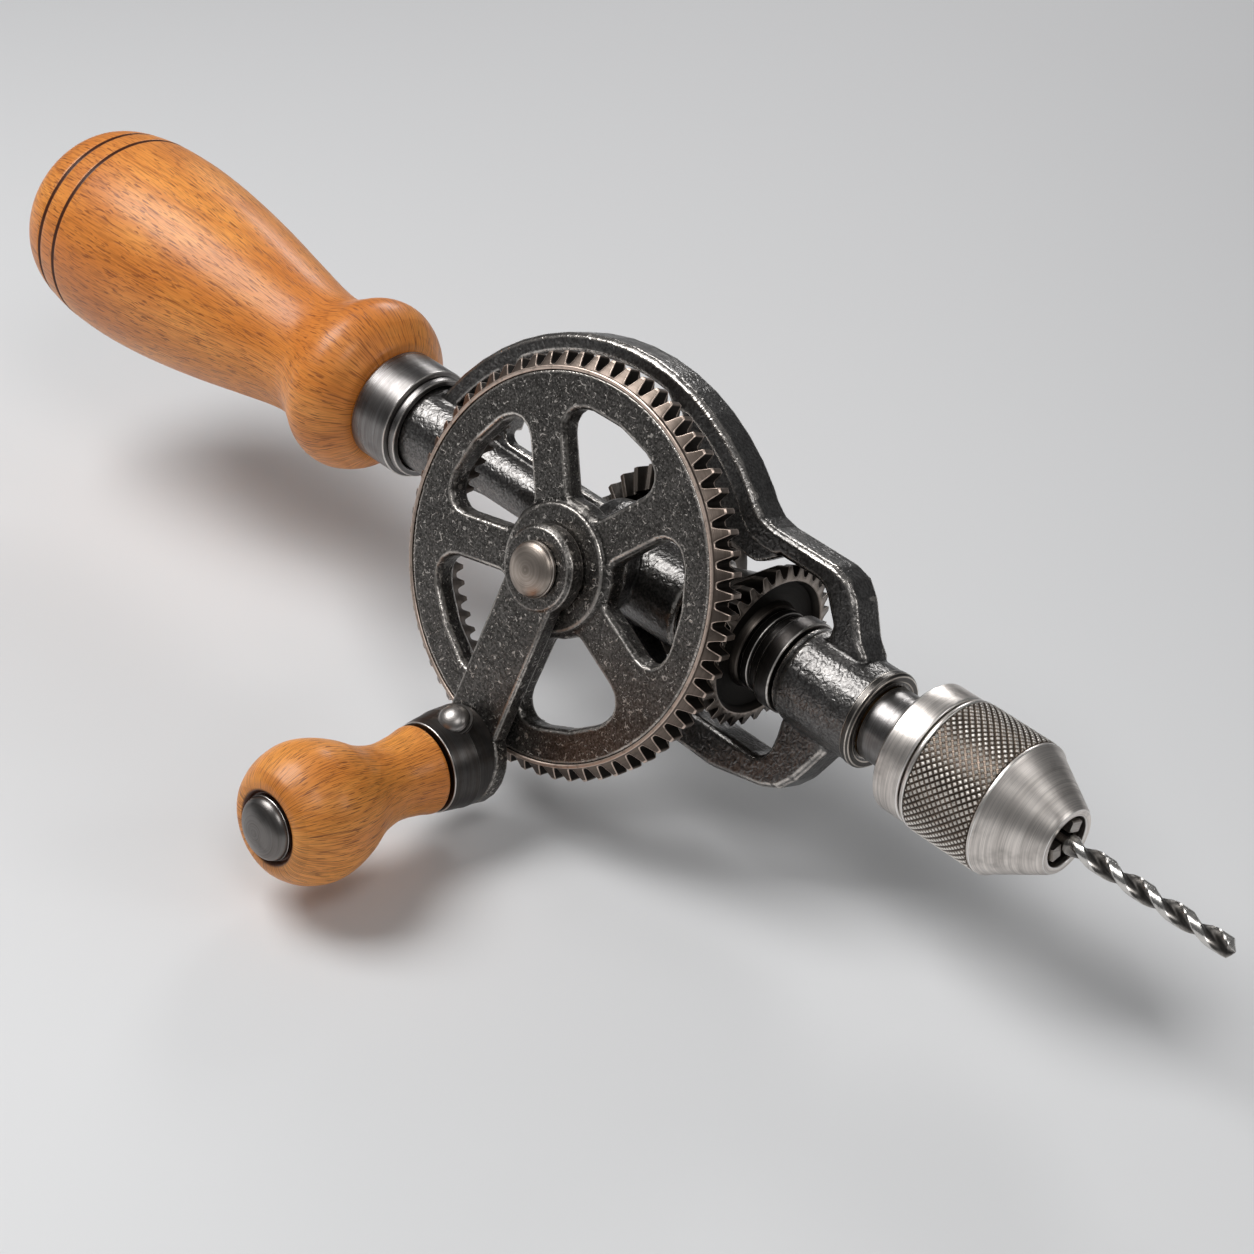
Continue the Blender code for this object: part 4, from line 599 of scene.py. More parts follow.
# A high wear and shade value takes the burnt colour: the real burnt rings on the handle, and
# painted shade round the grip's pin head.
for mark, strength, mark_colour in (
    (fade(tree, streaks, 0.4, 0.75), STREAK_SHARE, given["Deep"]),
    (ring_edge, RING_SHARE, given["Deep"]),
    (fibres, FIBRE_SHARE, given["Fleck"]),
    (fleck, FLECK_SHARE, given["Fleck"]),
    (long_line, LONG_LINE_SHARE, given["Fleck"]),
    (fade(tree, given["Wear and shade"], 0.1, 0.7), 1.0, BURNT_AND_SHADE_COLOUR),
):
    tone = mixed(tree, sums(tree, "MULTIPLY", mark, strength), tone, mark_colour)
rough = sums(tree, "MULTIPLY_ADD", streaks, STREAK_ROUGHNESS, LACQUER_ROUGHNESS)
height = sums(tree, "SUBTRACT", sums(tree, "MULTIPLY", streaks, STREAK_HEIGHT), fleck)
feed(tree, wanted, {"Color": tone, "Roughness": rough, "Height": height})

LACQUER = 0.12
BEECH_CHOICES = {
    "Pale": (0.84, 0.335, 0.068, 1),
    "Deep": (0.62, 0.195, 0.031, 1),
    "Fleck": (0.22, 0.055, 0.008, 1),
}
beech = finish(
    "beech", wood_skin, own_place, BEECH_CHOICES, bump=0.018, metallic=0, coat=LACQUER
)

HANDLE_FRONT = 73.4
HANDLE_LENGTH = 111.0
HANDLE_RADIUS = 22.7
SPIGOT_RADIUS = 9.5
SPIGOT_LENGTH = 7.6
# Shares of the length and of the radius, from the ferrule to the domed end
HANDLE_OUTLINE_SHARES = (
    (0, 0.55), (0.004, 0.6), (0.016, 0.665), (0.04, 0.775), (0.075, 0.845), (0.11, 0.83),
    (0.145, 0.74), (0.18, 0.66), (0.215, 0.635), (0.27, 0.66), (0.36, 0.745), (0.48, 0.86),
    (0.6, 0.95), (0.7, 0.995), (0.78, 1), (0.84, 0.978), (0.9, 0.915), (0.94, 0.815),
    (0.97, 0.655), (0.99, 0.415), (0.998, 0.19), (1, 0),
)  # fmt: skip
RING_PLACES = (0.812, 0.868)
RING_HALF_SHARE = 0.0042
RING_DEPTH = 0.45
RING_SHOULDER = 0.1
GROOVE_SHARES = ((0.08, 0.25), (0.3, 0.9), (0.5, 1), (0.7, 0.9), (0.92, 0.25))
outline = [
    (radius * HANDLE_RADIUS, along * HANDLE_LENGTH, 0.0)
    for along, radius in flowing(HANDLE_OUTLINE_SHARES)
]
for ring in RING_PLACES:
    low, high = (ring - RING_HALF_SHARE) * HANDLE_LENGTH, (ring + RING_HALF_SHARE) * HANDLE_LENGTH
    before = [spot for spot in outline if spot[1] < low]
    after = [spot for spot in outline if spot[1] > high]
    radius = (before[-1][0] + after[0][0]) / 2
    width = high - low
    groove = [
        (radius - sink * RING_DEPTH, low + share * width, 1.0) for share, sink in GROOVE_SHARES
    ]
    lower = (radius, low - RING_SHOULDER * width, 0.0)
    upper = (radius, high + RING_SHOULDER * width, 0.0)
    outline = [*before, lower, *groove, upper, *after]
spigot = [(0, -SPIGOT_LENGTH, 0), (SPIGOT_RADIUS, -SPIGOT_LENGTH, 0), (SPIGOT_RADIUS, 0, 0)]
handle_seat = seat(start=(-HANDLE_FRONT, 0, 0), along=(-1, 0, 0), side=(0, 0, 1))
handle_wood = settled(lathe(spigot + outline), handle_seat, sharp=50)
show("handle_wood", handle_wood, beech, "frame_body", "beech", "main_handle")


# FERRULE AND TANG
# A blued steel ring keeps the handle's mouth from splitting. Its front is turned
# down to a narrow nose with a groove, and its edges are rubbed bright.

TURNED_SOCKETS = (
    ("Place", "Vector"),
    ("Wear and shade", "Float"),
    ("Base", "Color"),
    ("Worn", "Color"),
    ("Lines", "Float"),
    ("Shine", "Float"),
)
# The tool's lines hardly change round the piece. Stains and scuffs are counted in a metre.
ROUND_SCALE = 90.0
BROAD_SCALES = (0.16, 0.16, 0.5)
STAINS = 160
METAL_SCUFFS = 700
CORNER_SHADE_SHARE = 0.85
CORNER_SHADE_ROUGHNESS = 0.25
LINE_ROUGHNESS = 0.2
BROAD_COLOUR = (0.05, 0.035, 0.026, 1)
STAIN_COLOUR = (0.012, 0.009, 0.007, 1)
CORNER_SHADE_COLOUR = (0.006, 0.005, 0.004, 1)
BLACK = (0, 0, 0, 1)
turned_skin, given, wanted = group("turned metal", TURNED_SOCKETS)
tree = turned_skin
place = given["Place"]
parts = put(tree, "SeparateXYZ", {0: place})
radius = from_axis(tree, parts.outputs[0], parts.outputs[1])
line_ends = {
    0: sums(tree, "MULTIPLY", parts.outputs[2], given["Lines"]),
    1: sums(tree, "MULTIPLY", radius, given["Lines"]),
    2: sums(tree, "MULTIPLY", parts.outputs[0], ROUND_SCALE),
}
line_place = put(tree, "CombineXYZ", line_ends).outputs[0]
round_place = sums(tree, "MULTIPLY", parts.outputs[1], ROUND_SCALE)
cut_ends = {"Vector": line_place, "W": round_place, "Scale": 1.0, "Detail": 3.0}
cut_lines = put(tree, "TexNoise", cut_ends, noise_dimensions="4D").outputs[0]
broad_place = put(tree, "Mapping", {"Vector": line_place, "Scale": BROAD_SCALES}).outputs[0]
broad_lines = noise(tree, broad_place, 1.0, detail=3.0, rough=0.6)
stain = noise(tree, place, STAINS, detail=3.0, rough=0.6)
scuff = noise(tree, place, METAL_SCUFFS, detail=3.0, rough=0.65)
scuff = fade(tree, scuff, 0.25, 0.5, start=0.45)
rubbed = sums(tree, "MULTIPLY", fade(tree, given["Wear and shade"], 0.15, 0.75), scuff)
# Painted shade: inner corners, tooth roots, flutes and knurl grooves, where the wear and shade
# value is below zero, are darkened towards black and made rougher.
corner_shade = fade(tree, given["Wear and shade"], -0.1, -0.8)
tone = mixed(tree, fade(tree, cut_lines, 0.3, 0.7, start=0.75, end=1.1), BLACK, given["Base"])
tone = mixed(tree, fade(tree, broad_lines, 0.35, 0.75, end=0.35), tone, BROAD_COLOUR)
tone = mixed(tree, fade(tree, stain, 0.45, 0.8, end=0.45), tone, STAIN_COLOUR)
tone = mixed(tree, rubbed, tone, given["Worn"])
tone = mixed(tree, sums(tree, "MULTIPLY", corner_shade, CORNER_SHADE_SHARE), tone, CORNER_SHADE_COLOUR)
uneven = sums(tree, "SUBTRACT", broad_lines, 0.5)
rough = sums(tree, "MULTIPLY_ADD", uneven, LINE_ROUGHNESS, given["Shine"])
rough = sums(tree, "MULTIPLY_ADD", corner_shade, CORNER_SHADE_ROUGHNESS, rough)
feed(tree, wanted, {"Color": tone, "Roughness": rough, "Height": cut_lines})

BLUED_CHOICES = {
    "Base": (0.25, 0.24, 0.235, 1),
    "Worn": (0.72, 0.68, 0.64, 1),
    "Lines": 6500.0,
    "Shine": 0.3,
}
blued = finish("blued_steel", turned_skin, own_place, BLUED_CHOICES, bump=0.02)
blued_flat = finish("blued_flat", turned_skin, whole_place, BLUED_CHOICES, bump=0.02)

FERRULE_FRONT = 60.9
FERRULE_BORE = 9.8
FERRULE_OUTLINE = (
    (FERRULE_BORE, 0),
    (11.15, 0),
    (11.3, 1.35),
    (10.95, 1.5),
    (10.95, 1.95),
    (12.2, 2.1),
    (12.2, 12.2),
    (FERRULE_BORE, 12.2),
)
ferrule_seat = seat(start=(-FERRULE_FRONT, 0, 0), along=(-1, 0, 0), side=(0, 0, 1))
ferrule = turned(FERRULE_OUTLINE, ferrule_seat, bevel=0.35, closed=True)
show("ferrule", ferrule, blued, "frame_body", "blued_steel", "handle_ferrule")

BRIGHT_CHOICES = {
    "Base": (0.4, 0.37, 0.34, 1),
    "Worn": (0.72, 0.68, 0.63, 1),
    "Lines": 3600.0,
    "Shine": 0.3,
}
bright_flat = finish("bright_flat", turned_skin, whole_place, BRIGHT_CHOICES, bump=0.015)


def paint(look, *nodes):
    """Gives CAD nodes that stay as they are a new finish."""
    for node in nodes:
        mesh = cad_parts[node].data
        mesh.materials.clear()
        mesh.materials.append(look)


paint(bright_flat, "handle_tang")


# AXLE PIN, WASHER AND NUT
# A steel pin with a domed head, centre marked by the lathe, runs through crank,
# wheel and frame. On the far side a washer and a hexagon nut close it.

HEAD_CHOICES = {
    "Base": (0.5, 0.43, 0.375, 1),
    "Worn": (0.84, 0.78, 0.72, 1),
    "Lines": 6000.0,
    "Shine": 0.36,
}
head_steel = finish("head_steel", turned_skin, own_place, HEAD_CHOICES, bump=0.025)
AXLE_RADIUS = 4.0
AXLE_LENGTH = 17.9
HEAD_SEAT = 30.4
HEAD_RADIUS = 5.6
AXLE_OUTLINE = (
    (0, -AXLE_LENGTH),
    (AXLE_RADIUS, -AXLE_LENGTH),
    (AXLE_RADIUS, HEAD_SEAT),
    (HEAD_RADIUS, HEAD_SEAT),
    (HEAD_RADIUS, 31.1),
    *domed(radius=5.4, along=31.35, rise=1.75),
)
axle_seat = seat(start=(0, 0, 0), along=(0, -1, 0), side=(1, 0, 0))
axle = turned(AXLE_OUTLINE, axle_seat, bevel=0.3)
show("axle", axle, head_steel, "frame_body", "bright_steel", "axle_pin")

WASHER_OUTLINE = ((4.3, 12.1), (6.8, 12.1), (6.8, 13.3), (4.3, 13.3))
far_seat = seat(start=(0, 0, 0), along=(0, 1, 0), side=(0, 0, 1))
washer = turned(WASHER_OUTLINE, far_seat, bevel=0.2, steps=64, closed=True)
show("washer", washer, blued, "frame_body", "blued_steel", "axle_washer")

NUT_SIDES = 6
NUT_START = 13.6
NUT_END = 17.6
NUT_RADIUS = 6.35
NUT_BORE = 4.3
NUT_BEVEL = 0.35
NUT_OUTLINE = (
    (NUT_BORE, NUT_START, 0),
    (NUT_RADIUS, NUT_START, 0),
    (NUT_RADIUS, NUT_END, 0),
    (NUT_BORE, NUT_END, 0),
)
nut_shape = lathe(NUT_OUTLINE, steps=NUT_SIDES, closed=True)
rim_reach = (NUT_RADIUS + NUT_BORE) / 2 * MM
corners = [
    edge for edge in nut_shape.edges if all(vert.co.xy.length > rim_reach for vert in edge.verts)
]
bmesh.ops.bevel(
    nut_shape,
    geom=corners,
    offset=NUT_BEVEL * MM,
    segments=2,
    profile=0.5,
    affect="EDGES",
    material=-1,
)
nut = settled(nut_shape, far_seat, sharp=25)
show("nut", nut, blued, "frame_body", "blued_steel", "axle_nut")


# DRIVE WHEEL
# A spoked iron wheel with a raised lip. Its web is cast and left dark. The teeth
# are cut, so their fronts and the lip are brown bright metal from handling.

LIP_START = 38.1
WEB_RADIUS = 33.0
WEB_BACK = 19.5
ROOM_BACK = 10
ROOM_FRONT = 30
WEB_ROOM_OUTLINE = (
    (0, ROOM_BACK, 0),
    (WEB_RADIUS, ROOM_BACK, 0),
    (WEB_RADIUS, WEB_BACK, 0),
    (LIP_START, WEB_BACK, 0),
    (LIP_START, ROOM_FRONT, 0),
    (0, ROOM_FRONT, 0),
)
web_room = lathe(WEB_ROOM_OUTLINE, steps=160)
web_room.transform(axle_seat)
bmesh.ops.recalc_face_normals(web_room, faces=web_room.faces)
room = loose("web_room", web_room)
wheel_web = baked("wheel_web", "drive_wheel", grain=0.3, smoothing=5, kept=0.78, inside=room)
show("wheel_web", wheel_web, cast_iron, "crank_body", "cast_iron", "drive_wheel")

# Half a tooth as (share of the pitch from its middle, share of its height)
TOOTH_SHARES = (
    (0.5, 0.0),
    (0.42, 0.0),
    (0.37, 0.05),
    (0.32, 0.15),
    (0.27, 0.32),
    (0.21, 0.58),
    (0.155, 0.84),
    (0.125, 0.96),
    (0.1, 1.0),
)
TIP_SHARE = 0.9
TIP_WEAR = 0.35
GEAR_CREASE = 32


def joined(made, rows):
    """Joins each closed row of verts to the next one."""
    for low, high in zip(rows, rows[1:]):
        for i in range(len(low)):
            j = (i + 1) % len(low)
            made.faces.new((low[i], low[j], high[j], high[i]))


def toothed(count, stations):
    """A gear as rows round its axis. A station is a root (radius, along) and a tip, its wear and
    painted shade, and how far its outline is drawn in. The rows join into a closed ring."""
    made = bmesh.new()
    wear_and_shade = made.verts.layers.float.new("wear_and_shade")
    pitch = 2 * math.pi / count
    falling = [(share, rise) for share, rise in TOOTH_SHARES[-1:0:-1]]
    outline = [(-share, rise) for share, rise in TOOTH_SHARES] + falling
    rows = []
    for root, tip, worn_and_shaded, draw in stations:
        row = []
        for number in range(count):
            for share, rise in outline:
                rise = max(0.0, rise - draw) if rise < 1 else 1 - draw / 2
                radius = (root[0] + (tip[0] - root[0]) * rise) * MM
                along = (root[1] + (tip[1] - root[1]) * rise) * MM
                angle = (number + 0.5 + share * (1 - draw / 3 * (rise > 0))) * pitch
                vert = made.verts.new((radius * math.cos(angle), radius * math.sin(angle), along))
                rubbed_tip = root != tip and worn_and_shaded <= 0 and rise > TIP_SHARE
                vert[wear_and_shade] = TIP_WEAR if rubbed_tip else worn_and_shaded
                row.append(vert)
        rows.append(row)
    joined(made, rows + rows[:1])
    return made


def plain(radius, along, worn_and_shaded=0.0):
    """A station without teeth."""
    return ((radius, along), (radius, along), worn_and_shaded, 0.0)


CUT_CHOICES = {
    "Base": (0.12, 0.096, 0.08, 1),
    "Worn": (0.66, 0.53, 0.45, 1),
    "Lines": 5000.0,
    "Shine": 0.38,
}
cut_iron = finish("cut_iron", turned_skin, own_place, CUT_CHOICES, bump=0.03, metallic=0.95)
WHEEL_TEETH = 65
# Below zero the third value of a station is painted shade: the tooth roots and flanks and the inner
# corner behind the lip are darkened.
WHEEL_STATIONS = (
    plain(32.6, 19.6),
    ((33.5, 16.64), (33.5, 14.53), 0.0, 0.0),
    ((36.08, 17.92), (36.08, 15.65), 0.2, 0.0),
    ((39.2, 19.47), (41.2, 18.65), 0.3, 0.05),
    ((39.2, 19.62), (41.35, 18.8), 0.9, 0.0),
    ((39.2, 19.9), (41.45, 19.1), -0.9, 0.0),
    ((39.2, 23.1), (41.75, 21.3), -0.9, 0.0),
    ((39.2, 23.5), (41.8, 21.6), -0.3, 0.0),
    ((39.2, 23.6), (41.8, 21.7), 1.0, 0.0),
    ((39.15, 23.78), (41.7, 21.85), 0.9, 0.04),
    ((39.1, 23.84), (41.55, 21.98), 0.2, 0.09),
    plain(39.05, 23.9, 0.3),
    plain(39.03, 24.3, 0.3),
    plain(39.0, 24.5, 1.0),
    plain(38.85, 24.6, 0.9),
    plain(38.45, 24.6, 0.9),
    plain(38.28, 24.5, 1.0),
    plain(38.2, 24.35, -0.6),
    plain(38.0, 24.2, -0.6),
    plain(37.6, 20.2),
)
wheel_teeth = settled(toothed(WHEEL_TEETH, WHEEL_STATIONS), axle_seat, sharp=GEAR_CREASE)
show("wheel_teeth", wheel_teeth, cut_iron, "crank_body", "cast_iron", "drive_wheel")

BRONZE_CHOICES = {
    "Base": (0.42, 0.26, 0.12, 1),
    "Worn": (0.6, 0.42, 0.24, 1),
    "Lines": 2500.0,
    "Shine": 0.36,
}
bronze = finish("bronze", turned_skin, whole_place, BRONZE_CHOICES, bump=0.02)
paint(bronze, "wheel_bush", "front_bush", "rear_bush")
paint(bright_flat, "drive_dowel_1", "drive_dowel_2", "pinion_pin")


# CRANK ARM
# A flat iron arm with a round boss, pinned to the wheel's hub by two dowels. Its
# faces are cast and its edges ground, so the edges shine.

arm = baked("arm", "crank_arm", grain=0.2, smoothing=6)
show("arm", arm, cast_iron, "crank_body", "cast_iron", "crank_arm")


# GRIP SOCKET AND RIVET
# A blued steel cup on the arm's end holds the grip pin. A round headed rivet goes
# through the cup's shoulder, and the flat behind it lies against the arm.

SOCKET_CHOICES = {
    "Base": (0.085, 0.08, 0.077, 1),
    "Worn": (0.7, 0.66, 0.62, 1),
    "Lines": 4500.0,
    "Shine": 0.36,
}
socket_black = finish("socket_black", turned_skin, own_place, SOCKET_CHOICES, bump=0.03)
FOOT = Vector((-3.4, -29.8, -42.9))
LEAN = Vector((-0.0183, -0.9724, -0.2327))
UP_ARM = Vector((0.0785, 0, 0.9969))
ARM_FACE = -30.1
SOCKET_OUTLINE = (
    (0, -2.65),
    (10.1, -2.65),
    (10.1, 3.0),
    (9.95, 3.6),
    (9.3, 8.8),
    (8.7, 8.8),
    (7.4, 8.6),
    (0, 8.6),
)
grip_seat = seat(start=FOOT, along=LEAN, side=UP_ARM)
arm_side = (middle + Vector((0, ARM_FACE, 0)) * MM, (0, 1, 0))
socket = turned(SOCKET_OUTLINE, grip_seat, bevel=0.35, cut=arm_side)
show("socket", socket, socket_black, "crank_body", "blued_steel", "grip_socket")

RIVET_CHOICES = {
    "Base": (0.36, 0.34, 0.325, 1),
    "Worn": (0.6, 0.57, 0.54, 1),
    "Lines": 3000.0,
    "Shine": 0.36,
}
rivet_steel = finish("rivet_steel", turned_skin, own_place, RIVET_CHOICES, bump=0.02)
RIVET_START = (9.75, 0, 3.3)
RIVET_TURN = math.radians(32)
# The foot's -1 values are painted shade where the head meets the cup.
RIVET_FOOT = ((0, -0.6, 0), (3.8, -0.6, 0), (3.8, 0.12, -1), (3.3, 0.14, -1), (3.2, 0.3, -1))
rivet_along = (math.cos(RIVET_TURN), 0, math.sin(RIVET_TURN))
rivet_seat = seat(start=RIVET_START, along=rivet_along, side=(0, 1, 0), base=grip_seat)
rivet_head = [(radius, along, 0) for radius, along in domed(radius=3.15, along=0.4, rise=2.1)]
rivet = settled(lathe([*RIVET_FOOT, *rivet_head], steps=64), rivet_seat)
show("rivet", rivet, rivet_steel, "crank_body", "bright_steel", "socket_rivet")


# CRANK GRIP AND ITS PIN
# A turned beech knob that spins on a steel pin. The pin's big domed head is dark
# and sits in a shallow recess in the end of the wood.

GRIP_CHOICES = {
    "Pale": (0.92, 0.385, 0.08, 1),
    "Deep": (0.64, 0.21, 0.033, 1),
    "Fleck": (0.15, 0.038, 0.006, 1),
}
grip_beech = finish(
    "grip_beech", wood_skin, own_place, GRIP_CHOICES, bump=0.02, metallic=0, coat=LACQUER
)
GRIP_START = 9.1
GRIP_LENGTH = 38.5
GRIP_END = GRIP_START + GRIP_LENGTH
GRIP_RADIUS = 14.1
GRIP_BORE = 2.8
RECESS_DEPTH = 0.8
RIM_LENGTH = 1.2
RIM_SHADE = 0.2
# Shares of the length and of the radius, from the socket to the recess
GRIP_OUTLINE_SHARES = (
    (0, 0.54), (0.01, 0.6), (0.035, 0.638), (0.12, 0.59), (0.26, 0.56), (0.4, 0.655),
    (0.53, 0.845), (0.65, 0.965), (0.76, 1), (0.87, 0.93), (0.95, 0.805), (0.985, 0.715),
    (1, 0.64), (1.004, 0.56),
)  # fmt: skip
grip_line = []
for share, radius_share in flowing(GRIP_OUTLINE_SHARES):
    along = GRIP_START + share * GRIP_LENGTH
    worn_and_shaded = RIM_SHADE if along > GRIP_END - RIM_LENGTH else 0.0
    grip_line.append((radius_share * GRIP_RADIUS, along, worn_and_shaded))
# The end face round the pin head and its recess are darkened: painted shade, darkest in the recess.
grip_line += [
    (7.5, GRIP_END + 0.1, 0.5),
    (7.15, GRIP_END - 0.2, 1),
    (6.8, GRIP_END - RECESS_DEPTH, 1),
    (GRIP_BORE, GRIP_END - RECESS_DEPTH, 1),
    (GRIP_BORE, GRIP_START, 0),
]
grip_wood = settled(lathe(grip_line, closed=True), grip_seat, sharp=50)
show("grip_wood", grip_wood, grip_beech, "grip_body", "beech", "crank_grip")

DARK_CHOICES = {
    "Base": (0.2, 0.188, 0.18, 1),
    "Worn": (0.6, 0.57, 0.54, 1),
    "Lines": 2600.0,
    "Shine": 0.33,
}
dark_steel = finish("dark_steel", turned_skin, own_place, DARK_CHOICES, bump=0.015)
BUTTON_OUTLINE = (
    (0, -2.5),
    (2.5, -2.5),
    (2.5, 47.1),
    (6.5, 47.1),
    (6.5, 47.8),
    *domed(radius=6.35, along=47.95, rise=3.0),
)
grip_button = turned(BUTTON_OUTLINE, grip_seat, bevel=0.3)
show("grip_button", grip_button, dark_steel, "crank_body", "bright_steel", "grip_pin")


# PINIONS AND COUNTER GEAR
# The drive pinion is a cast cone that widens into its teeth. A small steel pinion
# at the spindle's back end meets the counter gear on the far side.

DARK_CUT_CHOICES = {
    "Base": (0.065, 0.057, 0.05, 1),
    "Worn": (0.55, 0.47, 0.41, 1),
    "Lines": 5000.0,
    "Shine": 0.34,
}
dark_cut = finish("dark_cut", turned_skin, own_place, DARK_CUT_CHOICES, bump=0.03, metallic=0.95)
PINION_TEETH = 30
# Below zero the third value of a station is painted shade, on the tooth flanks and in the dished
# front.
PINION_STATIONS = (
    plain(4.3, 20.65),
    plain(9.2, 20.65, 0.6),
    plain(9.5, 20.95, 0.6),
    plain(9.6, 21.4),
    plain(11.84, 28.17),
    ((12.14, 28.48), (16.08, 32.88), 0.5, 0.0),
    ((12.3, 28.7), (16.2, 33.1), -0.6, 0.0),
    ((15.2, 36.3), (17.45, 35.8), -0.6, 0.0),
    ((15.38, 36.62), (17.6, 36.0), 0.6, 0.0),
    ((15.3, 36.68), (17.5, 36.1), 0.3, 0.06),
    plain(14.6, 36.68, 0.5),
    plain(14.4, 36.6, 0.5),
    plain(14.2, 36.3),
    plain(13.4, 35.2, -0.8),
    plain(9.4, 35.0, -0.6),
    plain(9.0, 36.4, 0.3),
    plain(8.8, 36.68),
    plain(4.3, 36.68),
)
spindle_seat = seat(start=(0, 0, 0), along=(1, 0, 0), side=(0, 0, 1))
pinion = settled(toothed(PINION_TEETH, PINION_STATIONS), spindle_seat, sharp=GEAR_CREASE)
show("pinion", pinion, dark_cut, "spindle_body", "cast_iron", "drive_pinion")
SMALL_TEETH = 12
SMALL_STATIONS = (
    plain(2.9, 13.75),
    plain(4.25, 13.75),
    ((4.55, 14.05), (6.25, 14.35), 0.6, 0.0),
    ((4.65, 14.3), (6.4, 14.6), 0.0, 0.0),
    ((6.1, 18.9), (8.4, 18.5), 0.0, 0.0),
    ((6.2, 19.15), (8.52, 18.75), 0.6, 0.0),
    plain(5.9, 19.45),
    plain(2.9, 19.45),
)
rear_pinion = settled(toothed(SMALL_TEETH, SMALL_STATIONS), spindle_seat, sharp=GEAR_CREASE)
show("rear_pinion", rear_pinion, dark_cut, "spindle_body", "blued_steel", "small_pinion")
COUNTER_TEETH = 30
# Below zero the third value of a station is painted shade, on the recessed web and the tooth
# flanks.
COUNTER_STATIONS = (
    plain(4.3, 4.8),
    plain(6.2, 4.8, 0.5),
    plain(7.0, 7.44, -0.5),
    plain(13.35, 7.44, -0.5),
    ((14.15, 6.64), (14.15, 4.89), -0.4, 0.0),
    ((19.0, 8.95), (19.0, 6.55), -0.4, 0.0),
    ((19.1, 9.2), (19.19, 6.75), 0.45, 0.0),
    ((19.19, 11.0), (19.19, 11.0), 0.0, 0.0),
    plain(18.95, 11.6, 0.3),
    plain(18.39, 11.8, 0.2),
    plain(4.3, 11.8),
)
far_gear = settled(toothed(COUNTER_TEETH, COUNTER_STATIONS), far_seat, sharp=GEAR_CREASE)
show("far_gear", far_gear, dark_cut, "counter_body", "cast_iron", "counter_gear")


# BARREL LIP
# The front end of the frame's barrel is turned after casting. Its rolled lip is
# rubbed bright where the chuck passes it.

LIP_CHOICES = {
    "Base": (0.1, 0.093, 0.087, 1),
    "Worn": (0.66, 0.6, 0.54, 1),
    "Lines": 4000.0,
    "Shine": 0.3,
}
lip_black = finish("lip_black", turned_skin, own_place, LIP_CHOICES, bump=0.04)
LIP_OUTLINE = (
    (7.5, 64.3),
    (9.8, 64.3),
    (10.15, 64.6),
    (10.2, 65.9),
    (9.7, 66.5),
    (8.5, 66.5),
    (8.0, 66.0),
    (7.5, 65.9),
)
barrel_lip = turned(LIP_OUTLINE, spindle_seat, bevel=0.5, closed=True)
show("barrel_lip", barrel_lip, lip_black, "frame_body", "cast_iron", "frame")


# SPINDLE, THRUST COLLAR AND RACE
# The spindle runs from a bush in the frame's core through both pinions and the
# front barrel. A collar and a race take the push between pinion and barrel.

SPINDLE_OUTLINE = (
    (0, 5.8),
    (2.6, 5.8),
    (2.6, 19.75),
    (4.0, 19.75),
    (4.0, 66.68),
    (7.7, 66.68),
    (7.7, 75.08),
    (5.0, 75.08),
    (5.0, 83.88),
    (0, 83.88),
)
shaft = turned(SPINDLE_OUTLINE, spindle_seat, bevel=0.4, steps=96)
show("shaft", shaft, blued, "spindle_body", "blued_steel", "spindle")
COLLAR_OUTLINE = (
    (4.3, 36.98),
    (8.3, 36.98),
    (8.7, 37.4),
    (8.7, 38.9),
    (8.35, 39.1),
    (8.35, 39.5),
    (8.7, 39.7),
    (8.7, 41.57),
    (4.3, 41.57),
)
collar = turned(COLLAR_OUTLINE, spindle_seat, bevel=0.3, steps=96, closed=True)
show("collar", collar, socket_black, "spindle_body", "blued_steel", "thrust_collar")
RACE_OUTLINE = ((4.3, 41.88), (9.8, 41.88), (9.8, 45.47), (4.3, 45.47))
race = turned(RACE_OUTLINE, spindle_seat, bevel=0.4, steps=96, closed=True)
show("race", race, socket_black, "frame_body", "blued_steel", "thrust_race")


# CHUCK
# A brushed steel body screwed on the spindle, slotted for three jaws, and a sleeve
# with a diamond knurl and a turned nose. Turning the sleeve closes the jaws.

BRUSHED_CHOICES = {
    "Base": (0.86, 0.8, 0.75, 1),
    "Worn": (0.9, 0.87, 0.84, 1),
    "Lines": 6000.0,
    "Shine": 0.34,
}
brushed = finish("brushed_steel", turned_skin, own_place, BRUSHED_CHOICES, bump=0.014)
BODY_OUTLINE = (
    (5.3, 75.38),
    (12.6, 75.38),
    (13.5, 76.1),
    (13.5, 81.98),
    (11.2, 81.98),
    (11.2, 91.18),
    (8.05, 91.18),
    (8.05, 94.77),
    (11.2, 94.77),
    (11.2, 98.87),
    (6.65, 106.47),
    (3.7, 106.47),
    (3.7, 84.48),
    (5.3, 84.48),
)
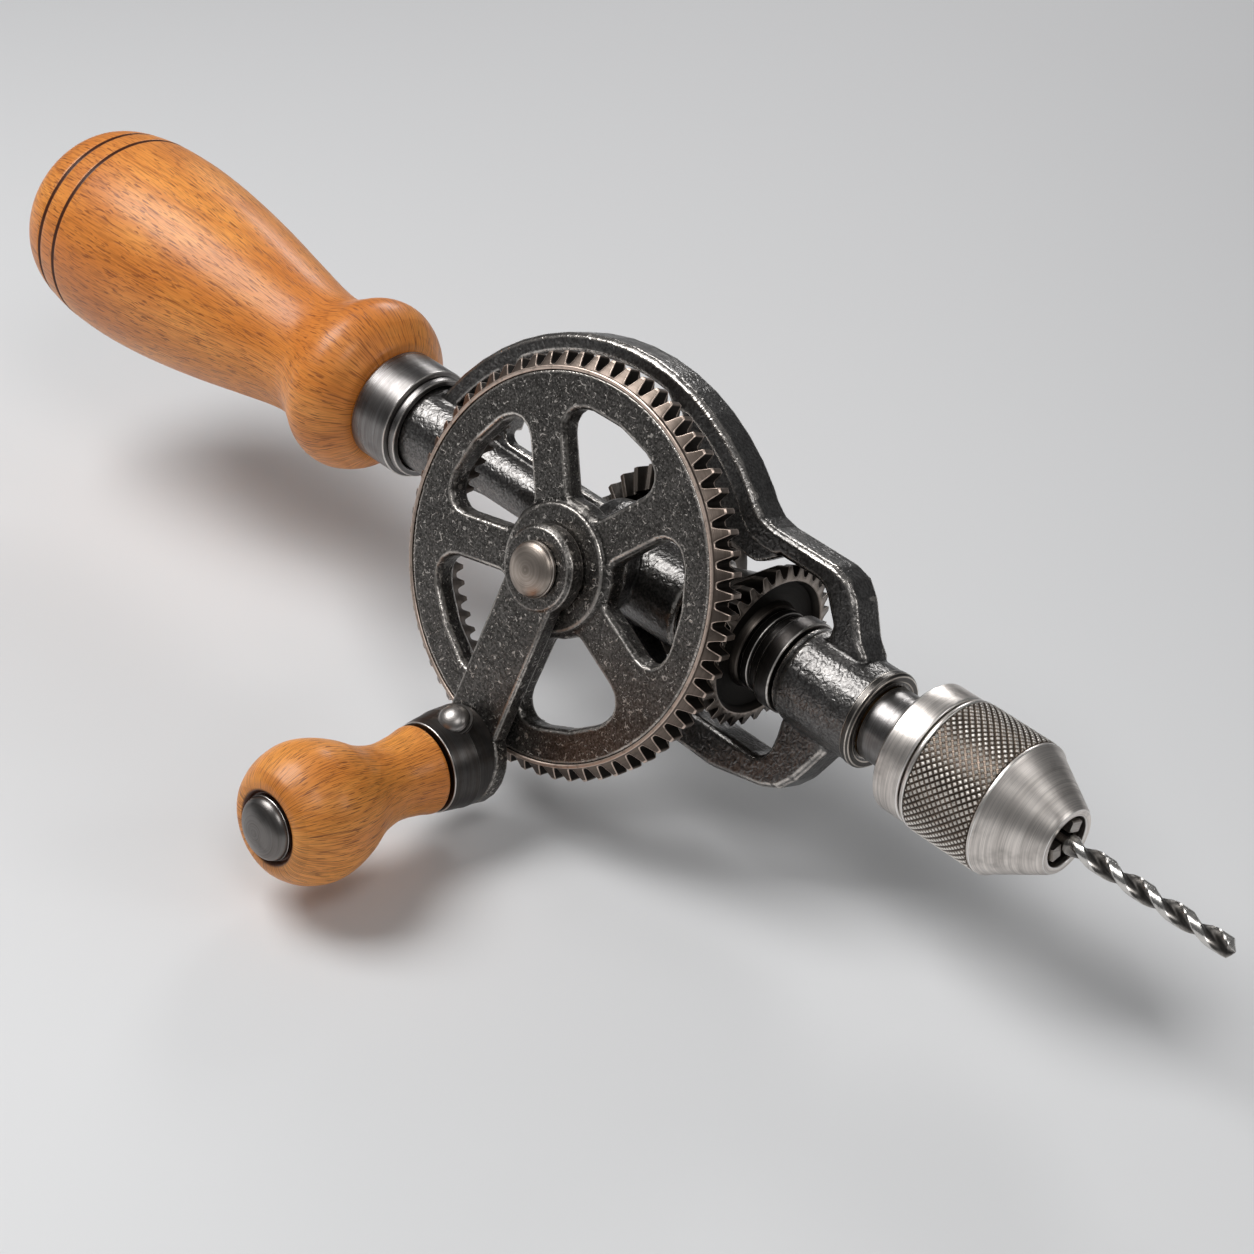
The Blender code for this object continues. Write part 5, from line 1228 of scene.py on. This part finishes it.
# One jaw's slot as (along the spindle, out from it)
SLOT_OUTLINE = ((113.3, -1), (113.3, 13.9), (85.0, 13.9), (85.0, 6.84), (98.9, -1))
SLOT_WIDTH = 3.6
JAWS = 3
body_mesh = turned(BODY_OUTLINE, spindle_seat, bevel=0.4, steps=144, closed=True)
chuck_body = stand("body_rough", body_mesh)
slot_shape = bmesh.new()
for number in range(JAWS):
    turn = Matrix.Rotation(2 * math.pi / JAWS * number, 4, "X")
    corners = [turn @ Vector((x, -SLOT_WIDTH / 2, z)) * MM + middle for x, z in SLOT_OUTLINE]
    side = slot_shape.faces.new([slot_shape.verts.new(corner) for corner in corners])
    drawn = bmesh.ops.extrude_face_region(slot_shape, geom=[side])["geom"]
    far_verts = [item for item in drawn if isinstance(item, bmesh.types.BMVert)]
    across = turn @ Vector((0, SLOT_WIDTH, 0)) * MM
    bmesh.ops.translate(slot_shape, vec=across, verts=far_verts)
bmesh.ops.recalc_face_normals(slot_shape, faces=slot_shape.faces)
slots = loose("slots", slot_shape)
combine(chuck_body, "DIFFERENCE", slots).use_self = True
slotted = taken(chuck_body, slots)
show("chuck_core", slotted, brushed, "spindle_body", "brushed_steel", "chuck_body")

KNURL_START = 83.6
KNURL_END = 98.9
KNURL_RADIUS = 13.55
SLEEVE_OUTLINE = (
    (11.5, 82.28),
    (13.1, 82.28),
    (13.75, 82.9),
    (13.75, KNURL_START - 0.1),
    (13.3, KNURL_START),
    (13.3, KNURL_END),
    (13.75, KNURL_END + 0.1),
    (13.75, 99.6),
    (13.1, 100.35),
    (7.3, 110.4),
    (6.7, 111.2),
    (5.3, 111.2),
    (5.3, 110.07),
    (11.5, 98.87),
)
sleeve = turned(SLEEVE_OUTLINE, spindle_seat, bevel=0.35, steps=144, closed=True)
show("sleeve", sleeve, brushed, "sleeve_body", "brushed_steel", "chuck_sleeve")

KNURL_CHOICES = {
    "Base": (0.22, 0.175, 0.14, 1),
    "Worn": (0.94, 0.89, 0.83, 1),
    "Lines": 4000.0,
    "Shine": 0.34,
}
knurl_steel = finish("knurled_steel", turned_skin, own_place, KNURL_CHOICES, bump=0.02)
DIAMONDS_ROUND = 54
DIAMONDS_ALONG = 10
KNURL_STEPS = 6
KNURL_HEIGHT = 0.42
KNURL_SINK = 0.1
KNURL_WALL = 0.6
FLANK_SHARE = 0.58
KNURL_GROOVE_SHADE = 0.8
KNURL_WELD = 0.01
steps_round = DIAMONDS_ROUND * KNURL_STEPS
steps_along = DIAMONDS_ALONG * KNURL_STEPS
knurl_shape = bmesh.new()
bmesh.ops.create_grid(knurl_shape, x_segments=steps_round, y_segments=steps_along, size=0.5)
wear_and_shade = knurl_shape.verts.layers.float.new("wear_and_shade")
for vert in knurl_shape.verts:
    turns, along = vert.co.x + 0.5, vert.co.y + 0.5
    nearest = 1.0
    for hand in (-1, 1):
        cell = (turns * DIAMONDS_ROUND + hand * along * DIAMONDS_ALONG) % 1
        nearest = min(nearest, 2 * min(cell, 1 - cell))
    rise = min(1.0, nearest / FLANK_SHARE)
    if min(along, 1 - along) < 0.5 / steps_along:
        rise = 0
    radius = (KNURL_RADIUS - KNURL_SINK + KNURL_HEIGHT * rise) * MM
    angle = 2 * math.pi * turns
    vert.co = (
        radius * math.cos(angle),
        radius * math.sin(angle),
        (KNURL_START + (KNURL_END - KNURL_START) * along) * MM,
    )
    # Diamond tops are worn bright; the grooves take painted shade.
    vert[wear_and_shade] = (1 + KNURL_GROOVE_SHADE) * rise - KNURL_GROOVE_SHADE
bmesh.ops.remove_doubles(knurl_shape, verts=knurl_shape.verts, dist=KNURL_WELD * MM)
rims = [edge for edge in knurl_shape.edges if edge.is_boundary]
for item in bmesh.ops.extrude_edge_only(knurl_shape, edges=rims)["geom"]:
    if isinstance(item, bmesh.types.BMVert):
        item.co.xy *= (KNURL_RADIUS - KNURL_WALL) * MM / item.co.xy.length
rims = [edge for edge in knurl_shape.edges if edge.is_boundary]
bmesh.ops.bridge_loops(knurl_shape, edges=rims)
knurl = settled(knurl_shape, spindle_seat, sharp=20)
show("knurl", knurl, knurl_steel, "sleeve_body", "brushed_steel", "chuck_sleeve")
paint(blued_flat, "chuck_nut")
paint(bright_flat, "chuck_jaw_1", "chuck_jaw_2", "chuck_jaw_3")


# DRILL BIT
# A ground high speed steel twist bit with two flutes and a chisel point. The
# lands are worn bright and the flutes are darkened with their depth, a painted shade.

BIT_CHOICES = {
    "Base": (0.34, 0.32, 0.3, 1),
    "Worn": (0.68, 0.66, 0.63, 1),
    "Lines": 2400.0,
    "Shine": 0.24,
}
bit_steel = finish("bit_steel", turned_skin, own_place, BIT_CHOICES, bump=0.01)
BIT_RADIUS = 2.0
BIT_START = 92.07
BIT_END = 149.1
FLUTE_START = 111.9
POINT_LENGTH = 1.2
FLUTE_END = BIT_END - POINT_LENGTH
TURN_LENGTH = 17.5
CHAMFER = 0.3
CHAMFER_SIZE = 0.85
PLAIN_GAP = 1
TWIST_ROWS = 110
RUN_OUT_ROWS = 8
# Half of the bit's round, as shares of its radius, from land to flute and back
FLUTE_SHARES = (
    1, 1, 1, 0.985, 0.9, 0.74, 0.6, 0.5, 0.44, 0.42, 0.44, 0.52, 0.66, 0.86, 1, 1,
)  # fmt: skip
LAND_SHARE = 0.95
BIT_WEAR_AND_SHADE = 0.9
DEEPEST = 0.58
# The point's rows as (distance from the end, further turn, size, depth of the flutes)
POINT_ROWS = ((0.6, 0.2, 0.55, 0.9), (0.1, 0.35, 0.12, 0.5))
bit_shape = bmesh.new()
wear_and_shade = bit_shape.verts.layers.float.new("wear_and_shade")


def bit_row(along, turn=0.0, size=1.0, depth=0.0):
    """One cross section of the bit, fluted by the depth share."""
    ring = []
    shares = [1 - (1 - share) * depth for share in FLUTE_SHARES * 2]
    for i, share in enumerate(shares):
        angle = 2 * math.pi * i / len(shares) + turn
        radius = BIT_RADIUS * size * share * MM
        vert = bit_shape.verts.new((radius * math.cos(angle), radius * math.sin(angle), along * MM))
        # Lands are worn bright; the flutes get painted shade that deepens with them.
        on_land = share > LAND_SHARE and depth > 0
        vert[wear_and_shade] = BIT_WEAR_AND_SHADE if on_land else -BIT_WEAR_AND_SHADE * (1 - share) / DEEPEST
        ring.append(vert)
    return ring


rows = [bit_row(BIT_START, size=CHAMFER_SIZE)]
rows += [bit_row(along) for along in (BIT_START + CHAMFER, FLUTE_START - PLAIN_GAP)]
for step in range(TWIST_ROWS + 1):
    along = FLUTE_START + (FLUTE_END - FLUTE_START) * step / TWIST_ROWS
    turn = 2 * math.pi * (along - FLUTE_START) / TURN_LENGTH
    rows.append(bit_row(along, turn, depth=min(1, step / RUN_OUT_ROWS)))
end_turn = 2 * math.pi * (FLUTE_END - FLUTE_START) / TURN_LENGTH
for from_end, further, size, depth in POINT_ROWS:
    rows.append(bit_row(BIT_END - from_end, end_turn + further, size, depth))
joined(bit_shape, rows)
bit_shape.faces.new(rows[0])
bit_shape.faces.new(rows[-1])
twist_bit = settled(bit_shape, spindle_seat, sharp=28)
show("twist_bit", twist_bit, bit_steel, "bit_body", "bright_steel", "drill_bit")


# HIDDEN CAD NODES
# The nodes that new pieces stand for aren't shown. They take the matching finish
# too, so that the part looks right if someone shows them.


def handle_place(tree):
    """Places on the whole drill with the grain along the handle."""
    ends = {"Vector": whole_place(tree), "Rotation": (0, math.pi / 2, 0)}
    return put(tree, "Mapping", ends).outputs[0]


beech_flat = finish(
    "beech_flat", wood_skin, handle_place, BEECH_CHOICES, bump=0.018, metallic=0, coat=LACQUER
)
paint(beech_flat, "main_handle", "crank_grip")
paint(cast_iron, "frame", "drive_wheel", "crank_arm", "drive_pinion", "counter_gear")
paint(blued_flat, "handle_ferrule", "axle_washer", "axle_nut", "grip_socket", "spindle")
paint(blued_flat, "small_pinion", "thrust_collar", "thrust_race")
paint(bright_flat, "axle_pin", "socket_rivet", "grip_pin", "chuck_body", "chuck_sleeve")
paint(bright_flat, "drill_bit")
